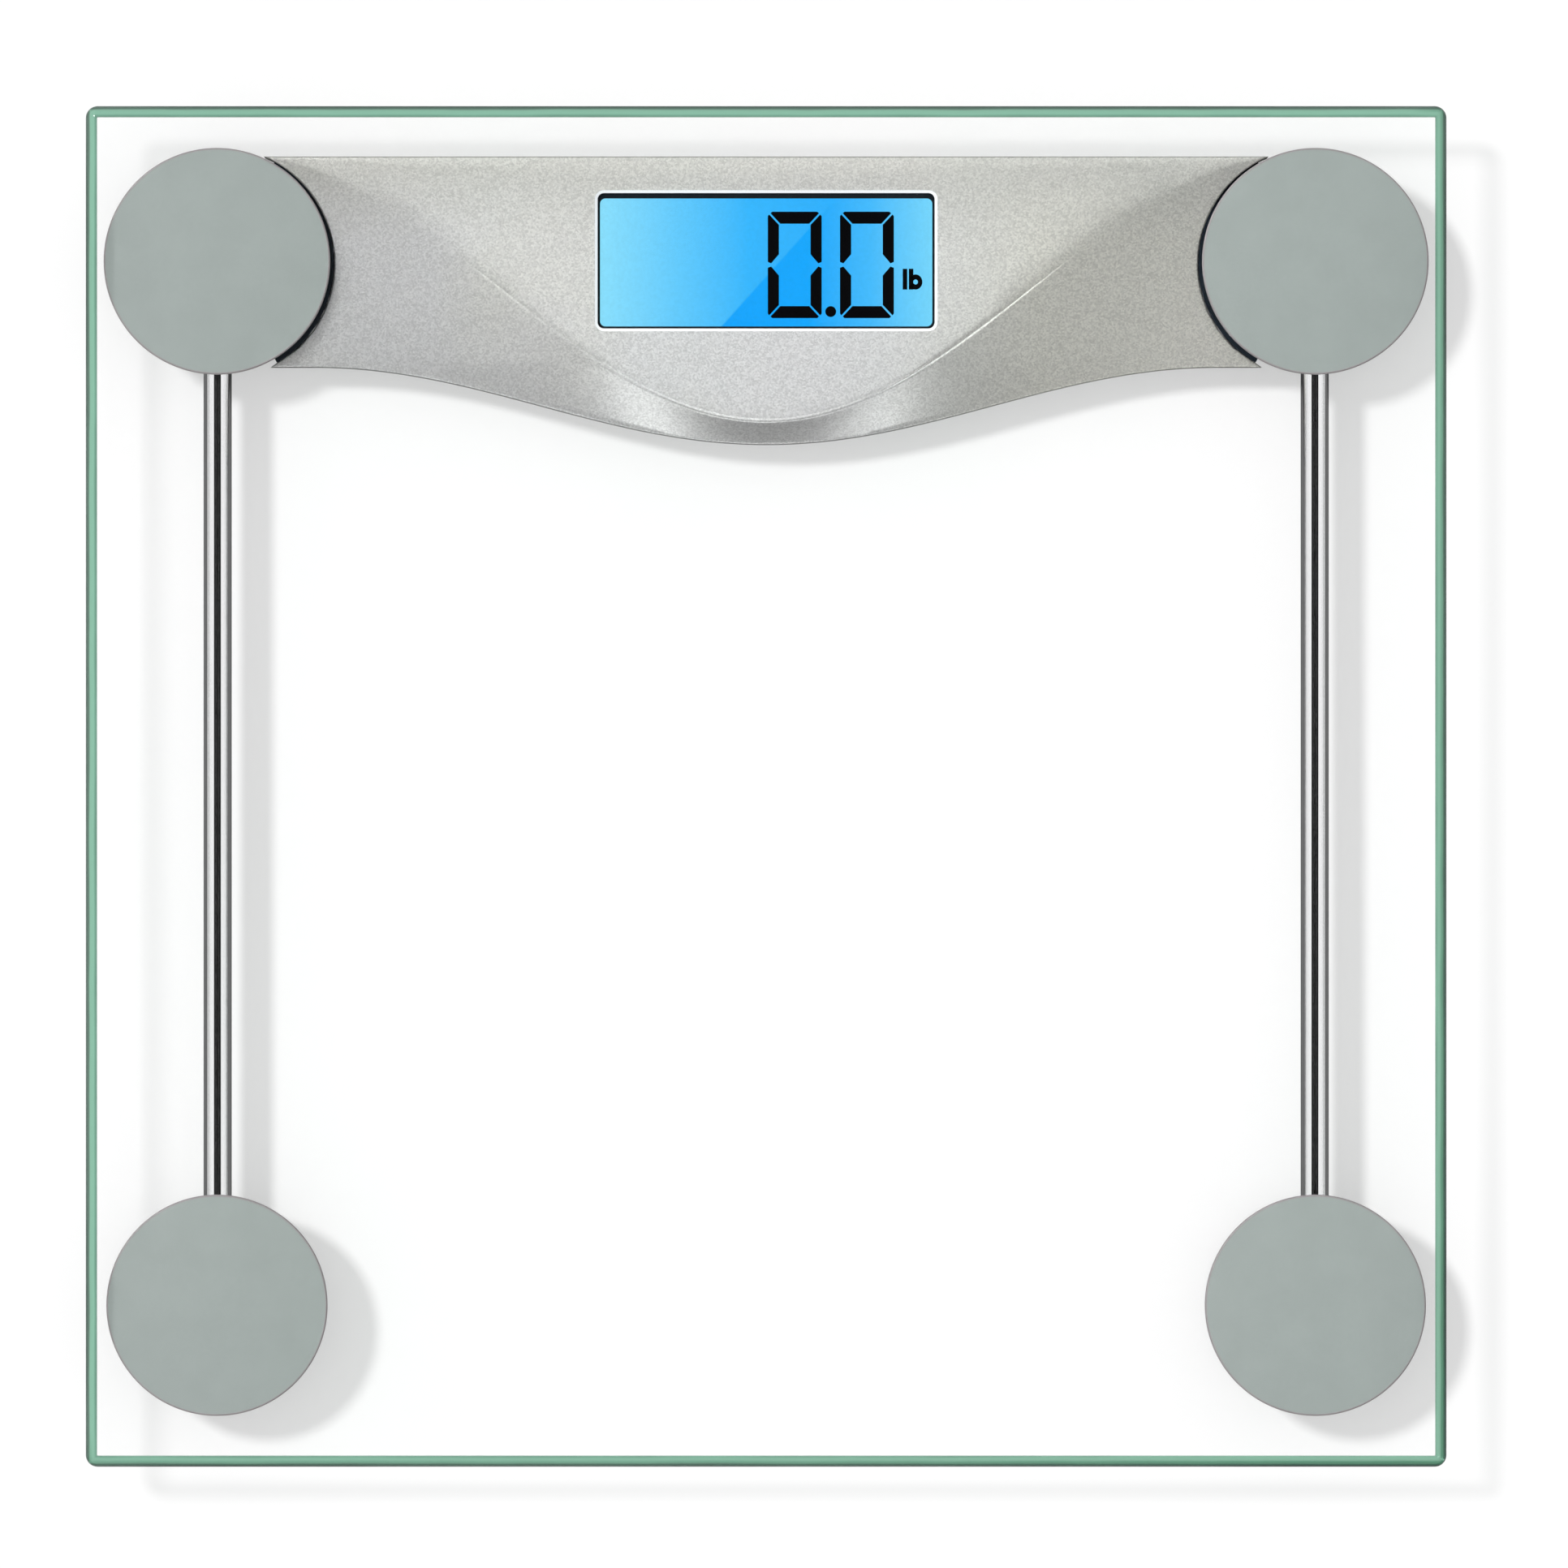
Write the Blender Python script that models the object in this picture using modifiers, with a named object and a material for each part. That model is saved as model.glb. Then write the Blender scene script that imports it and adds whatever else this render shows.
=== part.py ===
"""Glass platform scale with four load-cell feet, two rail tubes and a display housing.

Metres, +Z up. The origin lies on the floor under the middle of the platform.
+Y points to the display side (rear) and -Y to the user's side (front).
"""

import math

import bmesh
import bpy
from mathutils import Vector

# Driving dimensions
GAP = 0.0003  # air left between pieces that touch

GLASS_SIDE = 0.300
GLASS_TOP = 0.025
GLASS_THICK = 0.006
GLASS_CORNER = 0.0026  # seen from above
GLASS_EDGE_ROUND = 0.0024  # polished round of the top and bottom edges

FOOT_X = 0.1212  # the feet stand at plus and minus this
FOOT_REAR_Y = 0.1159
FOOT_FRONT_Y = -0.1145
CAP_RADIUS_REAR = 0.0250
CAP_RADIUS_FRONT = 0.0244
CAP_THICK = 0.0012
HOUSING_STEP = 0.0005  # the housing is this much smaller than its cap
HOUSING_BOTTOM = 0.0045
HOUSING_WALL = 0.0024
HOUSING_ROOF = 0.0016
PAD_RADIUS = 0.0156
PAD_THICK = 0.0020
PUCK_RADIUS = 0.0168
PUCK_FLANGE_RADIUS = 0.0190
PUCK_FLANGE_BOTTOM = 0.0072
PUCK_FLANGE_TOP = 0.0086
PUCK_BOSS_RADIUS = 0.0035
RIB_OUTER_RADIUS = 0.0155  # the round rib under a housing's roof that bears on the load cell
RIB_INNER_RADIUS = 0.0125
PUCK_TRAVEL = 0.0005
CELL_SIDE = 0.030
CELL_THICK = 0.0022

TUBE_RADIUS = 0.0031
TUBE_WALL = 0.0005
TUBE_SOCKET_DEPTH = 0.0215  # from a foot's axis to the tube's end
WIRE_NOTCH_LOW = (-0.0052, 0.0116)  # y from a rear foot's axis and z of the wires' opening
WIRE_NOTCH_HIGH = (-0.0004, 0.0148)

POD_REAR_Y = 0.1390
POD_FRONT_LOW_Y = 0.0756  # the front edge's belly, on the middle line
POD_FRONT_RISE = 0.0171  # from the belly up to the straight ends
POD_FRONT_HALF = 0.100  # half length of the front edge's wave
POD_RIDGE_LOW_Y = 0.0805  # the ridge's belly
POD_RIDGE_PHASE = math.radians(167.4)  # share of a half wave that the ridge covers
POD_END_CLEARANCE = 0.00055  # how much wider the hollow end's curve is than the rear cap
POD_HOLLOW_SHIFT = 0.00042  # from the cap's axis to the curve's, so the gap opens towards the front
POD_HOLLOW_TURN = math.radians(58)  # direction of that shift: inward, then this far to the front
POD_TOP = 0.0186
POD_DROP = 0.0060  # the sloped flanks fall this far from the ridge to the front edge
POD_SPLIT = 0.0093  # height where the two shells meet
POD_BOTTOM = 0.0030
SHELL_WALL = 0.0016
SHELL_ROOF = 0.0012
SHELL_FLOOR = 0.0015
POST_RADIUS = 0.0026
POST_BOTTOM = 0.0070
OUTER_POST_TOP = 0.0137  # the outer posts stand under the sloped flanks
PILOT_RADIUS = 0.0014
PILOT_TOP = 0.0121
BOSS_RADIUS = 0.0038
BOSS_TOP = POST_BOTTOM - GAP
SCREW_HEAD_BOTTOM = 0.0033
SCREW_HEAD_TOP = 0.0043
SCREW_TIP = 0.0115

WINDOW_SIZE = (0.0744, 0.0299)
WINDOW_CENTRE_Y = 0.1160
WINDOW_CORNER = 0.0014
WINDOW_CHAMFER = 0.0006

AAA_RADIUS = 0.00525
AAA_LENGTH = 0.0437
AAA_NUB_LENGTH = 0.0008
AAA_NUB_RADIUS = 0.0019
BATTERY_BAY_X = -0.0627  # middle of the battery bay
BATTERY_BAY_Y = 0.12405
BATTERY_PITCH = 0.0107
DOOR_SIZE = (0.0502, 0.0217)
DOOR_THICK = 0.0014

BOARD_LEFT = -0.033
BOARD_RIGHT = 0.058
BUTTON_PLACE = (0.045, 0.112)
BUTTON_TOP = 0.0058  # of the nub that presses the switch
BUTTON_RADIUS = 0.0040
BUTTON_TRAVEL = 0.0006
WIRE_RADIUS = 0.0006

ROUND = 32  # sides of a turned piece
ROUND_FINE = 56
ROUND_SMALL = 16
POD_STATIONS = 15  # sections from the middle of the display housing to an end
POD_ROWS = 10  # rows from the front edge up to the ridge
POD_ROW_SPACING = 1.6  # above 1, the rows close up towards the ridge

FEET = {
    "front_left": (-1, "front"),
    "front_right": (1, "front"),
    "rear_left": (-1, "rear"),
    "rear_right": (1, "rear"),
}
SHELL_SCREWS = {
    "left_outer": (-0.090, 0.104),
    "left_inner": (-0.034, 0.0935),
    "right_inner": (0.034, 0.0935),
    "right_outer": (0.090, 0.104),
}

# Heights that follow from the driving dimensions
GLASS_BOTTOM = GLASS_TOP - GLASS_THICK
CAP_TOP = GLASS_BOTTOM - GAP
CAP_BOTTOM = CAP_TOP - CAP_THICK
HOUSING_TOP = CAP_BOTTOM - GAP
ROOF_UNDERSIDE = HOUSING_TOP - HOUSING_ROOF
TUBE_HEIGHT = CAP_BOTTOM - GAP - TUBE_RADIUS
CELL_TOP = ROOF_UNDERSIDE - 0.0026
CELL_BOTTOM = CELL_TOP - CELL_THICK
PUCK_BOTTOM = PAD_THICK + GAP
WINDOW_REAR_Y = WINDOW_CENTRE_Y + WINDOW_SIZE[1] / 2
LCD_TOP = POD_TOP - SHELL_ROOF - 3 * GAP
LCD_BOTTOM = LCD_TOP - 0.0020
BACKLIGHT_TOP = LCD_BOTTOM - GAP
BACKLIGHT_BOTTOM = BACKLIGHT_TOP - 0.0017
BOARD_TOP = BACKLIGHT_BOTTOM - GAP
BOARD_BOTTOM = BOARD_TOP - 0.0012
BAY_FLOOR = POD_BOTTOM + DOOR_THICK + GAP
AAA_HEIGHT = BAY_FLOOR + AAA_RADIUS
BAY_HALF_LENGTH = (AAA_LENGTH + AAA_NUB_LENGTH) / 2 + 0.0020
HINGE_Y = BATTERY_BAY_Y + DOOR_SIZE[1] / 2 - DOOR_THICK / 2
HINGE_Z = POD_BOTTOM + DOOR_THICK / 2


# Scene and materials
def clear_scene():
    for item in list(bpy.data.objects):
        bpy.data.objects.remove(item, do_unlink=True)


def new_collection(name):
    made = bpy.data.collections.new(name)
    bpy.context.scene.collection.children.link(made)
    return made


def new_material(name, color, roughness, metallic=0.0, alpha=1.0):
    material = bpy.data.materials.new(name)
    material.use_nodes = True
    shader = material.node_tree.nodes["Principled BSDF"]
    shader.inputs["Base Color"].default_value = (*color, 1.0)
    shader.inputs["Roughness"].default_value = roughness
    shader.inputs["Metallic"].default_value = metallic
    shader.inputs["Alpha"].default_value = alpha
    material.diffuse_color = (*color, alpha)
    return material


clear_scene()
PARTS = new_collection("glass_platform_scale")
HELPERS = new_collection("cutters")

GLASS = new_material("clear_glass", (0.80, 0.93, 0.87), 0.03, alpha=0.35)
CAP_GREY = new_material("cap_grey", (0.37, 0.43, 0.40), 0.45)
HOUSING_GREY = new_material("housing_grey", (0.45, 0.46, 0.46), 0.5)
PUCK_WHITE = new_material("puck_white", (0.75, 0.75, 0.73), 0.5)
PAD_RUBBER = new_material("pad_rubber", (0.05, 0.05, 0.05), 0.85)
CELL_STEEL = new_material("cell_steel", (0.55, 0.56, 0.57), 0.3, metallic=1.0)
CHROME = new_material("rail_chrome", (0.85, 0.85, 0.86), 0.06, metallic=1.0)
SILVER_PAINT = new_material("silver_paint", (0.60, 0.60, 0.58), 0.35, metallic=0.6)
SHELL_GREY = new_material("shell_grey", (0.42, 0.42, 0.41), 0.55)
FOAM_BLACK = new_material("foam_black", (0.02, 0.02, 0.02), 0.9)
LCD_BLUE = new_material("lcd_blue", (0.15, 0.50, 1.0), 0.2)
DIFFUSER = new_material("diffuser_white", (0.9, 0.92, 0.95), 0.4)
BOARD_GREEN = new_material("board_green", (0.02, 0.22, 0.08), 0.45)
ZEBRA = new_material("zebra_rubber", (0.35, 0.25, 0.25), 0.7)
SWITCH_BLACK = new_material("switch_black", (0.03, 0.03, 0.03), 0.5)
BUTTON_GREY = new_material("button_grey", (0.30, 0.31, 0.32), 0.5)
BATTERY_WRAP = new_material("battery_wrap", (0.10, 0.11, 0.13), 0.3)
CONTACT_NICKEL = new_material("contact_nickel", (0.75, 0.73, 0.68), 0.25, metallic=1.0)
SCREW_STEEL = new_material("screw_steel", (0.5, 0.5, 0.5), 0.35, metallic=1.0)
WIRE_WHITE = new_material("wire_white", (0.8, 0.8, 0.78), 0.5)
WIRE_RED = new_material("wire_red", (0.6, 0.03, 0.03), 0.5)


# Modelling helpers
def add_object(name, data, material, place=(0.0, 0.0, 0.0)):
    made = bpy.data.objects.new(name, data)
    made.location = place
    PARTS.objects.link(made)
    if not data.materials:
        data.materials.append(material)
    return made


def helper(made):
    """Turns an object into the hidden operand of a Boolean."""
    for holder in list(made.users_collection):
        holder.objects.unlink(made)
    HELPERS.objects.link(made)
    made.hide_render = True
    made.display_type = "WIRE"
    return made


def boolean(target, operand, operation):
    made = target.modifiers.new(f"{operation}_{operand.name}", "BOOLEAN")
    made.operation = operation
    made.object = helper(operand)


def cut(target, operand):
    boolean(target, operand, "DIFFERENCE")


def fuse(target, operand):
    boolean(target, operand, "UNION")


def finished_mesh(source):
    """The source's mesh with its modifiers worked in and its round sides smooth."""
    graph = bpy.context.evaluated_depsgraph_get()
    mesh = bpy.data.meshes.new_from_object(source.evaluated_get(graph))
    mesh.name = source.name
    mesh.shade_smooth()
    mesh.set_sharp_from_angle(angle=math.radians(35))
    operands = [modifier.object for modifier in source.modifiers if modifier.type == "BOOLEAN"]
    for item in [source, *operands]:
        bpy.data.objects.remove(item, do_unlink=True)
    return mesh


def turned(name, profile, material, sides=ROUND, place=(0.0, 0.0, 0.0)):
    """A shape turned about its own Z axis from (radius, height) points.

    The profile runs top to bottom on its outer side. One that leaves the axis is a
    full round; one that never touches it closes on itself and makes a ring.
    """
    mesh = bpy.data.meshes.new(name)
    form = bmesh.new()
    points = [form.verts.new((radius, 0.0, height)) for radius, height in profile]
    for start, end in zip(points, points[1:]):
        form.edges.new((start, end))
    if profile[0][0] > 0.0:
        form.edges.new((points[-1], points[0]))
    form.to_mesh(mesh)
    form.free()
    made = add_object(name, mesh, material, place)
    screw = made.modifiers.new("turn", "SCREW")
    screw.steps = sides
    screw.render_steps = sides
    screw.use_merge_vertices = True
    screw.merge_threshold = 0.00001
    screw.use_smooth_shade = True
    return made


def cylinder(name, radius, low, high, material, place=(0.0, 0.0), sides=ROUND_SMALL):
    """An upright cylinder between two heights."""
    form = bmesh.new()
    bmesh.ops.create_cone(
        form, cap_ends=True, segments=sides, radius1=radius, radius2=radius, depth=high - low
    )
    mesh = bpy.data.meshes.new(name)
    form.to_mesh(mesh)
    form.free()
    return add_object(name, mesh, material, (*place, (low + high) / 2))


def box(name, low, high, material):
    """A box between two opposite corners."""
    form = bmesh.new()
    bmesh.ops.create_cube(form, size=1.0)
    size = Vector(high) - Vector(low)
    bmesh.ops.scale(form, vec=size, verts=form.verts)
    mesh = bpy.data.meshes.new(name)
    form.to_mesh(mesh)
    form.free()
    return add_object(name, mesh, material, (Vector(low) + Vector(high)) / 2)


def loft(name, rings, material):
    """A closed solid through rings that hold the same number of points, first to last."""
    form = bmesh.new()
    made = [[form.verts.new(point) for point in ring] for ring in rings]
    count = len(rings[0])
    for lower, upper in zip(made, made[1:]):
        for i in range(count):
            k = (i + 1) % count
            form.faces.new((lower[i], lower[k], upper[k], upper[i]))
    form.faces.new(made[0])
    form.faces.new(made[-1])
    bmesh.ops.recalc_face_normals(form, faces=form.faces)
    mesh = bpy.data.meshes.new(name)
    form.to_mesh(mesh)
    form.free()
    return add_object(name, mesh, material)


def rounded_rectangle(size, radius, height, centre=(0.0, 0.0), steps=4):
    """Points round a rectangle with rounded corners, at one height."""
    half_x = size[0] / 2 - radius
    half_y = size[1] / 2 - radius
    points = []
    for quarter, (side_x, side_y) in enumerate(((1, 1), (-1, 1), (-1, -1), (1, -1))):
        for step in range(steps + 1):
            angle = math.radians(90 * (quarter + step / steps))
            x = centre[0] + side_x * half_x + radius * math.cos(angle)
            y = centre[1] + side_y * half_y + radius * math.sin(angle)
            points.append((x, y, height))
    return points


def plate(name, size, radius, low, high, centre, material):
    """A flat plate with rounded corners between two heights."""
    rings = [rounded_rectangle(size, radius, height, centre) for height in (low, high)]
    return loft(name, rings, material)


def smooth_points(route, samples):
    """Points on a smooth curve through the route's points."""
    knots = [Vector(point) for point in route]
    slopes = [knots[1] - knots[0]]
    for before, here, after in zip(knots, knots[1:], knots[2:]):
        reach = min((here - before).length, (after - here).length)
        slopes.append((after - before).normalized() * reach)
    slopes.append(knots[-1] - knots[-2])
    points = [knots[0]]
    for i in range(len(knots) - 1):
        for step in range(1, samples + 1):
            t = step / samples
            start = knots[i] * (2 * t**3 - 3 * t**2 + 1) + slopes[i] * (t**3 - 2 * t**2 + t)
            end = knots[i + 1] * (3 * t**2 - 2 * t**3) + slopes[i + 1] * (t**3 - t**2)
            points.append(start + end)
    return points


def wire(name, route, radius, material, samples=3):
    """A round wire along a smooth curve through the route's points."""
    points = smooth_points(route, samples)
    curve = bpy.data.curves.new(name, "CURVE")
    curve.dimensions = "3D"
    curve.bevel_depth = radius
    curve.bevel_resolution = 2
    curve.use_fill_caps = True
    spline = curve.splines.new("POLY")
    spline.points.add(len(points) - 1)
    for target, point in zip(spline.points, points):
        target.co = (*point, 1.0)
    return add_object(name, curve, material)


# The platform
def make_glass():
    """The toughened glass plate, its top and bottom edges polished round."""
    rings = []
    steps = 4
    for level, direction in ((GLASS_BOTTOM, 1), (GLASS_TOP, -1)):
        turn = range(steps + 1) if direction > 0 else range(steps, -1, -1)
        for step in turn:
            angle = math.radians(90 * step / steps)
            inset = GLASS_EDGE_ROUND * (1 - math.sin(angle))
            height = level + direction * GLASS_EDGE_ROUND * (1 - math.cos(angle))
            side = GLASS_SIDE - 2 * inset
            rings.append(rounded_rectangle((side, side), GLASS_CORNER - inset, height))
    loft("glass_platform", rings, GLASS)


# The feet
def foot_place(side, row):
    return side * FOOT_X, FOOT_REAR_Y if row == "rear" else FOOT_FRONT_Y


def cap_radius(row):
    return CAP_RADIUS_REAR if row == "rear" else CAP_RADIUS_FRONT


def make_cap(name, side, row):
    """The round cap that is bonded to the glass and shows through it."""
    radius = cap_radius(row)
    edge = 0.0003
    profile = [
        (0.0, CAP_TOP),
        (radius - edge, CAP_TOP),
        (radius, CAP_TOP - edge),
        (radius, CAP_BOTTOM),
        (0.0, CAP_BOTTOM),
    ]
    made = turned(f"foot_cap_{name}", profile, CAP_GREY, ROUND_FINE)
    mesh = finished_mesh(made)
    add_object(f"foot_cap_{name}", mesh, CAP_GREY, (*foot_place(side, row), 0.0))


def make_housing(name, side, row):
    """The cup under a cap: it holds the load cell, the puck and one end of a rail tube."""
    outer = cap_radius(row) - HOUSING_STEP
    inner = outer - HOUSING_WALL
    profile = [
        (0.0, HOUSING_TOP),
        (outer - 0.0003, HOUSING_TOP),
        (outer, HOUSING_TOP - 0.0003),
        (outer - 0.0006, HOUSING_BOTTOM + 0.0009),
        (outer - 0.0015, HOUSING_BOTTOM),
        (inner, HOUSING_BOTTOM),
        (inner, ROOF_UNDERSIDE),
        (RIB_OUTER_RADIUS, ROOF_UNDERSIDE),
        (RIB_OUTER_RADIUS, CELL_TOP + GAP),
        (RIB_INNER_RADIUS, CELL_TOP + GAP),
        (RIB_INNER_RADIUS, ROOF_UNDERSIDE),
        (0.0, ROOF_UNDERSIDE),
    ]
    made = turned(f"foot_housing_{name}", profile, HOUSING_GREY)
    towards_tube = -1 if row == "rear" else 1
    socket = cylinder("socket", TUBE_RADIUS + GAP, -0.004, 0.004, HOUSING_GREY)
    socket.rotation_euler = (math.radians(90), 0.0, 0.0)
    socket.location = (0.0, towards_tube * (inner + 0.001), TUBE_HEIGHT)
    cut(made, socket)
    if row == "rear":
        start, end = sorted((-side * (inner - 0.0036), -side * (outer + 0.0015)))
        low = (start, *WIRE_NOTCH_LOW)
        cut(made, box("notch", low, (end, *WIRE_NOTCH_HIGH), HOUSING_GREY))
    mesh = finished_mesh(made)
    add_object(f"foot_housing_{name}", mesh, HOUSING_GREY, (*foot_place(side, row), 0.0))


def make_load_cell_mesh():
    """A stamped steel plate: its outer frame bears on the housing, its tongue on the puck."""
    size = (CELL_SIDE, CELL_SIDE)
    made = plate("load_cell", size, 0.004, CELL_BOTTOM, CELL_TOP, (0.0, 0.0), CELL_STEEL)
    arm, slot = 0.0095, 0.0018
    low, high = CELL_BOTTOM - 0.001, CELL_TOP + 0.001
    cut(made, box("slot_left", (-arm, -arm, low), (-arm + slot, arm, high), CELL_STEEL))
    cut(made, box("slot_right", (arm - slot, -arm, low), (arm, arm, high), CELL_STEEL))
    cut(made, box("slot_end", (-arm, arm - slot, low), (arm, arm, high), CELL_STEEL))
    return finished_mesh(made)


def make_puck_mesh():
    """The moving foot: a disc under the housing, a flange that the ring holds in, and a boss."""
    boss_top = CELL_BOTTOM - PUCK_TRAVEL - GAP
    profile = [
        (0.0, boss_top),
        (PUCK_BOSS_RADIUS, boss_top),
        (PUCK_BOSS_RADIUS, PUCK_FLANGE_TOP),
        (PUCK_FLANGE_RADIUS, PUCK_FLANGE_TOP),
        (PUCK_FLANGE_RADIUS, PUCK_FLANGE_BOTTOM),
        (PUCK_RADIUS, PUCK_FLANGE_BOTTOM),
        (PUCK_RADIUS, PUCK_BOTTOM),
        (0.0, PUCK_BOTTOM),
    ]
    return finished_mesh(turned("foot_puck", profile, PUCK_WHITE))


def make_ring_mesh(row):
    """The snap ring that closes a housing round the puck."""
    outer = cap_radius(row) - HOUSING_STEP - HOUSING_WALL - GAP
    inner = PUCK_RADIUS + 0.0005
    low, high = HOUSING_BOTTOM + GAP, PUCK_FLANGE_BOTTOM - GAP
    profile = [(outer, high), (outer, low), (inner, low), (inner, high)]
    return finished_mesh(turned(f"foot_ring_{row}", profile, HOUSING_GREY))


def make_pad_mesh():
    """The rubber tread that the scale stands on."""
    edge = 0.0005
    profile = [
        (0.0, PAD_THICK),
        (PAD_RADIUS, PAD_THICK),
        (PAD_RADIUS, edge),
        (PAD_RADIUS - edge, 0.0),
        (0.0, 0.0),
    ]
    return finished_mesh(turned("rubber_pad", profile, PAD_RUBBER))


def make_feet():
    cell = make_load_cell_mesh()
    puck = make_puck_mesh()
    pad = make_pad_mesh()
    rings = {row: make_ring_mesh(row) for row in ("front", "rear")}
    for name, (side, row) in FEET.items():
        place = (*foot_place(side, row), 0.0)
        make_cap(name, side, row)
        make_housing(name, side, row)
        add_object(f"load_cell_{name}", cell, CELL_STEEL, place)
        add_object(f"foot_ring_{name}", rings[row], HOUSING_GREY, place)
        add_object(f"foot_puck_{name}", puck, PUCK_WHITE, place)
        add_object(f"rubber_pad_{name}", pad, PAD_RUBBER, place)


# The rail tubes
def make_rail_tubes():
    start = FOOT_FRONT_Y + TUBE_SOCKET_DEPTH
    end = FOOT_REAR_Y - TUBE_SOCKET_DEPTH
    half = (end - start) / 2
    bore = TUBE_RADIUS - TUBE_WALL
    profile = [(TUBE_RADIUS, half), (TUBE_RADIUS, -half), (bore, -half), (bore, half)]
    mesh = finished_mesh(turned("rail_tube", profile, CHROME, sides=24))
    for name, side in (("left", -1), ("right", 1)):
        place = (side * FOOT_X, (start + end) / 2, TUBE_HEIGHT)
        made = add_object(f"rail_tube_{name}", mesh, CHROME, place)
        made.rotation_euler = (math.radians(90), 0.0, 0.0)


# The display housing's shape
def wave(share):
    """A smooth rise from 0 to 1 as share goes from 0 to 1."""
    return (1 - math.cos(math.pi * min(abs(share), 1.0))) / 2


def front_edge_y(x, inset):
    return POD_FRONT_LOW_Y + inset + POD_FRONT_RISE * wave(x / POD_FRONT_HALF)


def half_length(y, inset):
    """Half the housing's length at y: each end is hollow, round a rear foot's cap."""
    straight = POD_FRONT_LOW_Y + POD_FRONT_RISE + inset
    reach = max(y, straight) - (FOOT_REAR_Y - POD_HOLLOW_SHIFT * math.sin(POD_HOLLOW_TURN))
    radius = CAP_RADIUS_REAR + POD_END_CLEARANCE + inset
    centre_x = FOOT_X - POD_HOLLOW_SHIFT * math.cos(POD_HOLLOW_TURN)
    return centre_x - math.sqrt(radius**2 - reach**2)


def ridge_y(x, inset):
    """The ridge between the flat top and the sloped flanks: it ends in the rear corners."""
    low = POD_RIDGE_LOW_Y + inset / 2
    high = POD_REAR_Y - inset
    share = abs(x) / half_length(high, inset)
    rise = (1 - math.cos(POD_RIDGE_PHASE * share)) / (1 - math.cos(POD_RIDGE_PHASE))
    return low + (high - low) * rise


def pod_shares(inset):
    """Where the sections lie, as shares of the half length, from the left end to the right."""
    end = half_length(POD_REAR_Y - inset, inset)
    shares = []
    for station in range(-POD_STATIONS, POD_STATIONS + 1):
        x = end * station / POD_STATIONS
        shares.append(x / half_length(ridge_y(x, inset), inset))
    return shares


def row_share(row):
    """How far back a row lies, from 0 at the front edge to 1 at the ridge."""
    return 1 - (1 - row / POD_ROWS) ** POD_ROW_SPACING


def pod_section(share, station, inset, top):
    """Points from the front edge up the flank to the ridge, at one share of the length."""
    front_x = share * half_length(0.0, inset)
    front_y = front_edge_y(front_x, inset)
    end = half_length(POD_REAR_Y - inset, inset)
    back_y = ridge_y(end * station / POD_STATIONS, inset)
    points = []
    for row in range(POD_ROWS + 1):
        up = row_share(row)
        y = front_y + (back_y - front_y) * up
        points.append(Vector((share * half_length(y, inset), y, top - POD_DROP * (1 - up))))
    return points


def pod_outline(inset, height):
    """The housing's outline at one height, from the left front corner towards the right."""
    shares = pod_shares(inset)
    front = POD_FRONT_LOW_Y + POD_FRONT_RISE + inset
    rear = POD_REAR_Y - inset
    points = []
    for share in shares:
        x = share * half_length(0.0, inset)
        points.append((x, front_edge_y(x, inset), height))
    steps = [front + (rear - front) * row_share(row) for row in range(1, POD_ROWS)]
    points += [(half_length(y, inset), y, height) for y in steps]
    points += [(share * half_length(rear, inset), rear, height) for share in reversed(shares)]
    points += [(-half_length(y, inset), y, height) for y in reversed(steps)]
    return points


def pod_top_solid(name, inset, top, base, material):
    """The closed form under the housing's shaped top, down to a flat base."""
    stations = range(-POD_STATIONS, POD_STATIONS + 1)
    sections = [
        pod_section(share, station, inset, top)
        for share, station in zip(pod_shares(inset), stations)
    ]
    rear = POD_REAR_Y - inset
    form = bmesh.new()
    grid = []
    for share, section in zip(pod_shares(inset), sections):
        column = [form.verts.new(point) for point in section]
        column.append(form.verts.new((share * half_length(rear, inset), rear, top)))
        grid.append(column)
    for left, right in zip(grid, grid[1:]):
        for row in range(POD_ROWS + 1):
            form.faces.new((left[row], right[row], right[row + 1], left[row + 1]))
    rim = [column[0] for column in grid]
    rim += grid[-1][1:]
    rim += [column[-1] for column in reversed(grid[1:-1])]
    rim += list(reversed(grid[0][1:]))
    foot = [form.verts.new((point.co.x, point.co.y, base)) for point in rim]
    for i in range(len(rim)):
        k = (i + 1) % len(rim)
        form.faces.new((rim[k], rim[i], foot[i], foot[k]))
    form.faces.new(foot)
    bmesh.ops.remove_doubles(form, verts=form.verts, dist=0.000001)
    bmesh.ops.recalc_face_normals(form, faces=form.faces)
    mesh = bpy.data.meshes.new(name)
    form.to_mesh(mesh)
    form.free()
    return add_object(name, mesh, material)


# The display housing's pieces
def end_notch(name, side):
    """The opening in a hollow end that the load-cell wires come through."""
    start, end = sorted((side * 0.091, side * 0.101))
    low = (start, FOOT_REAR_Y - 0.0052, 0.0116)
    high = (end, FOOT_REAR_Y - 0.0004, 0.0134)
    return box(name, low, high, SILVER_PAINT)


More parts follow.
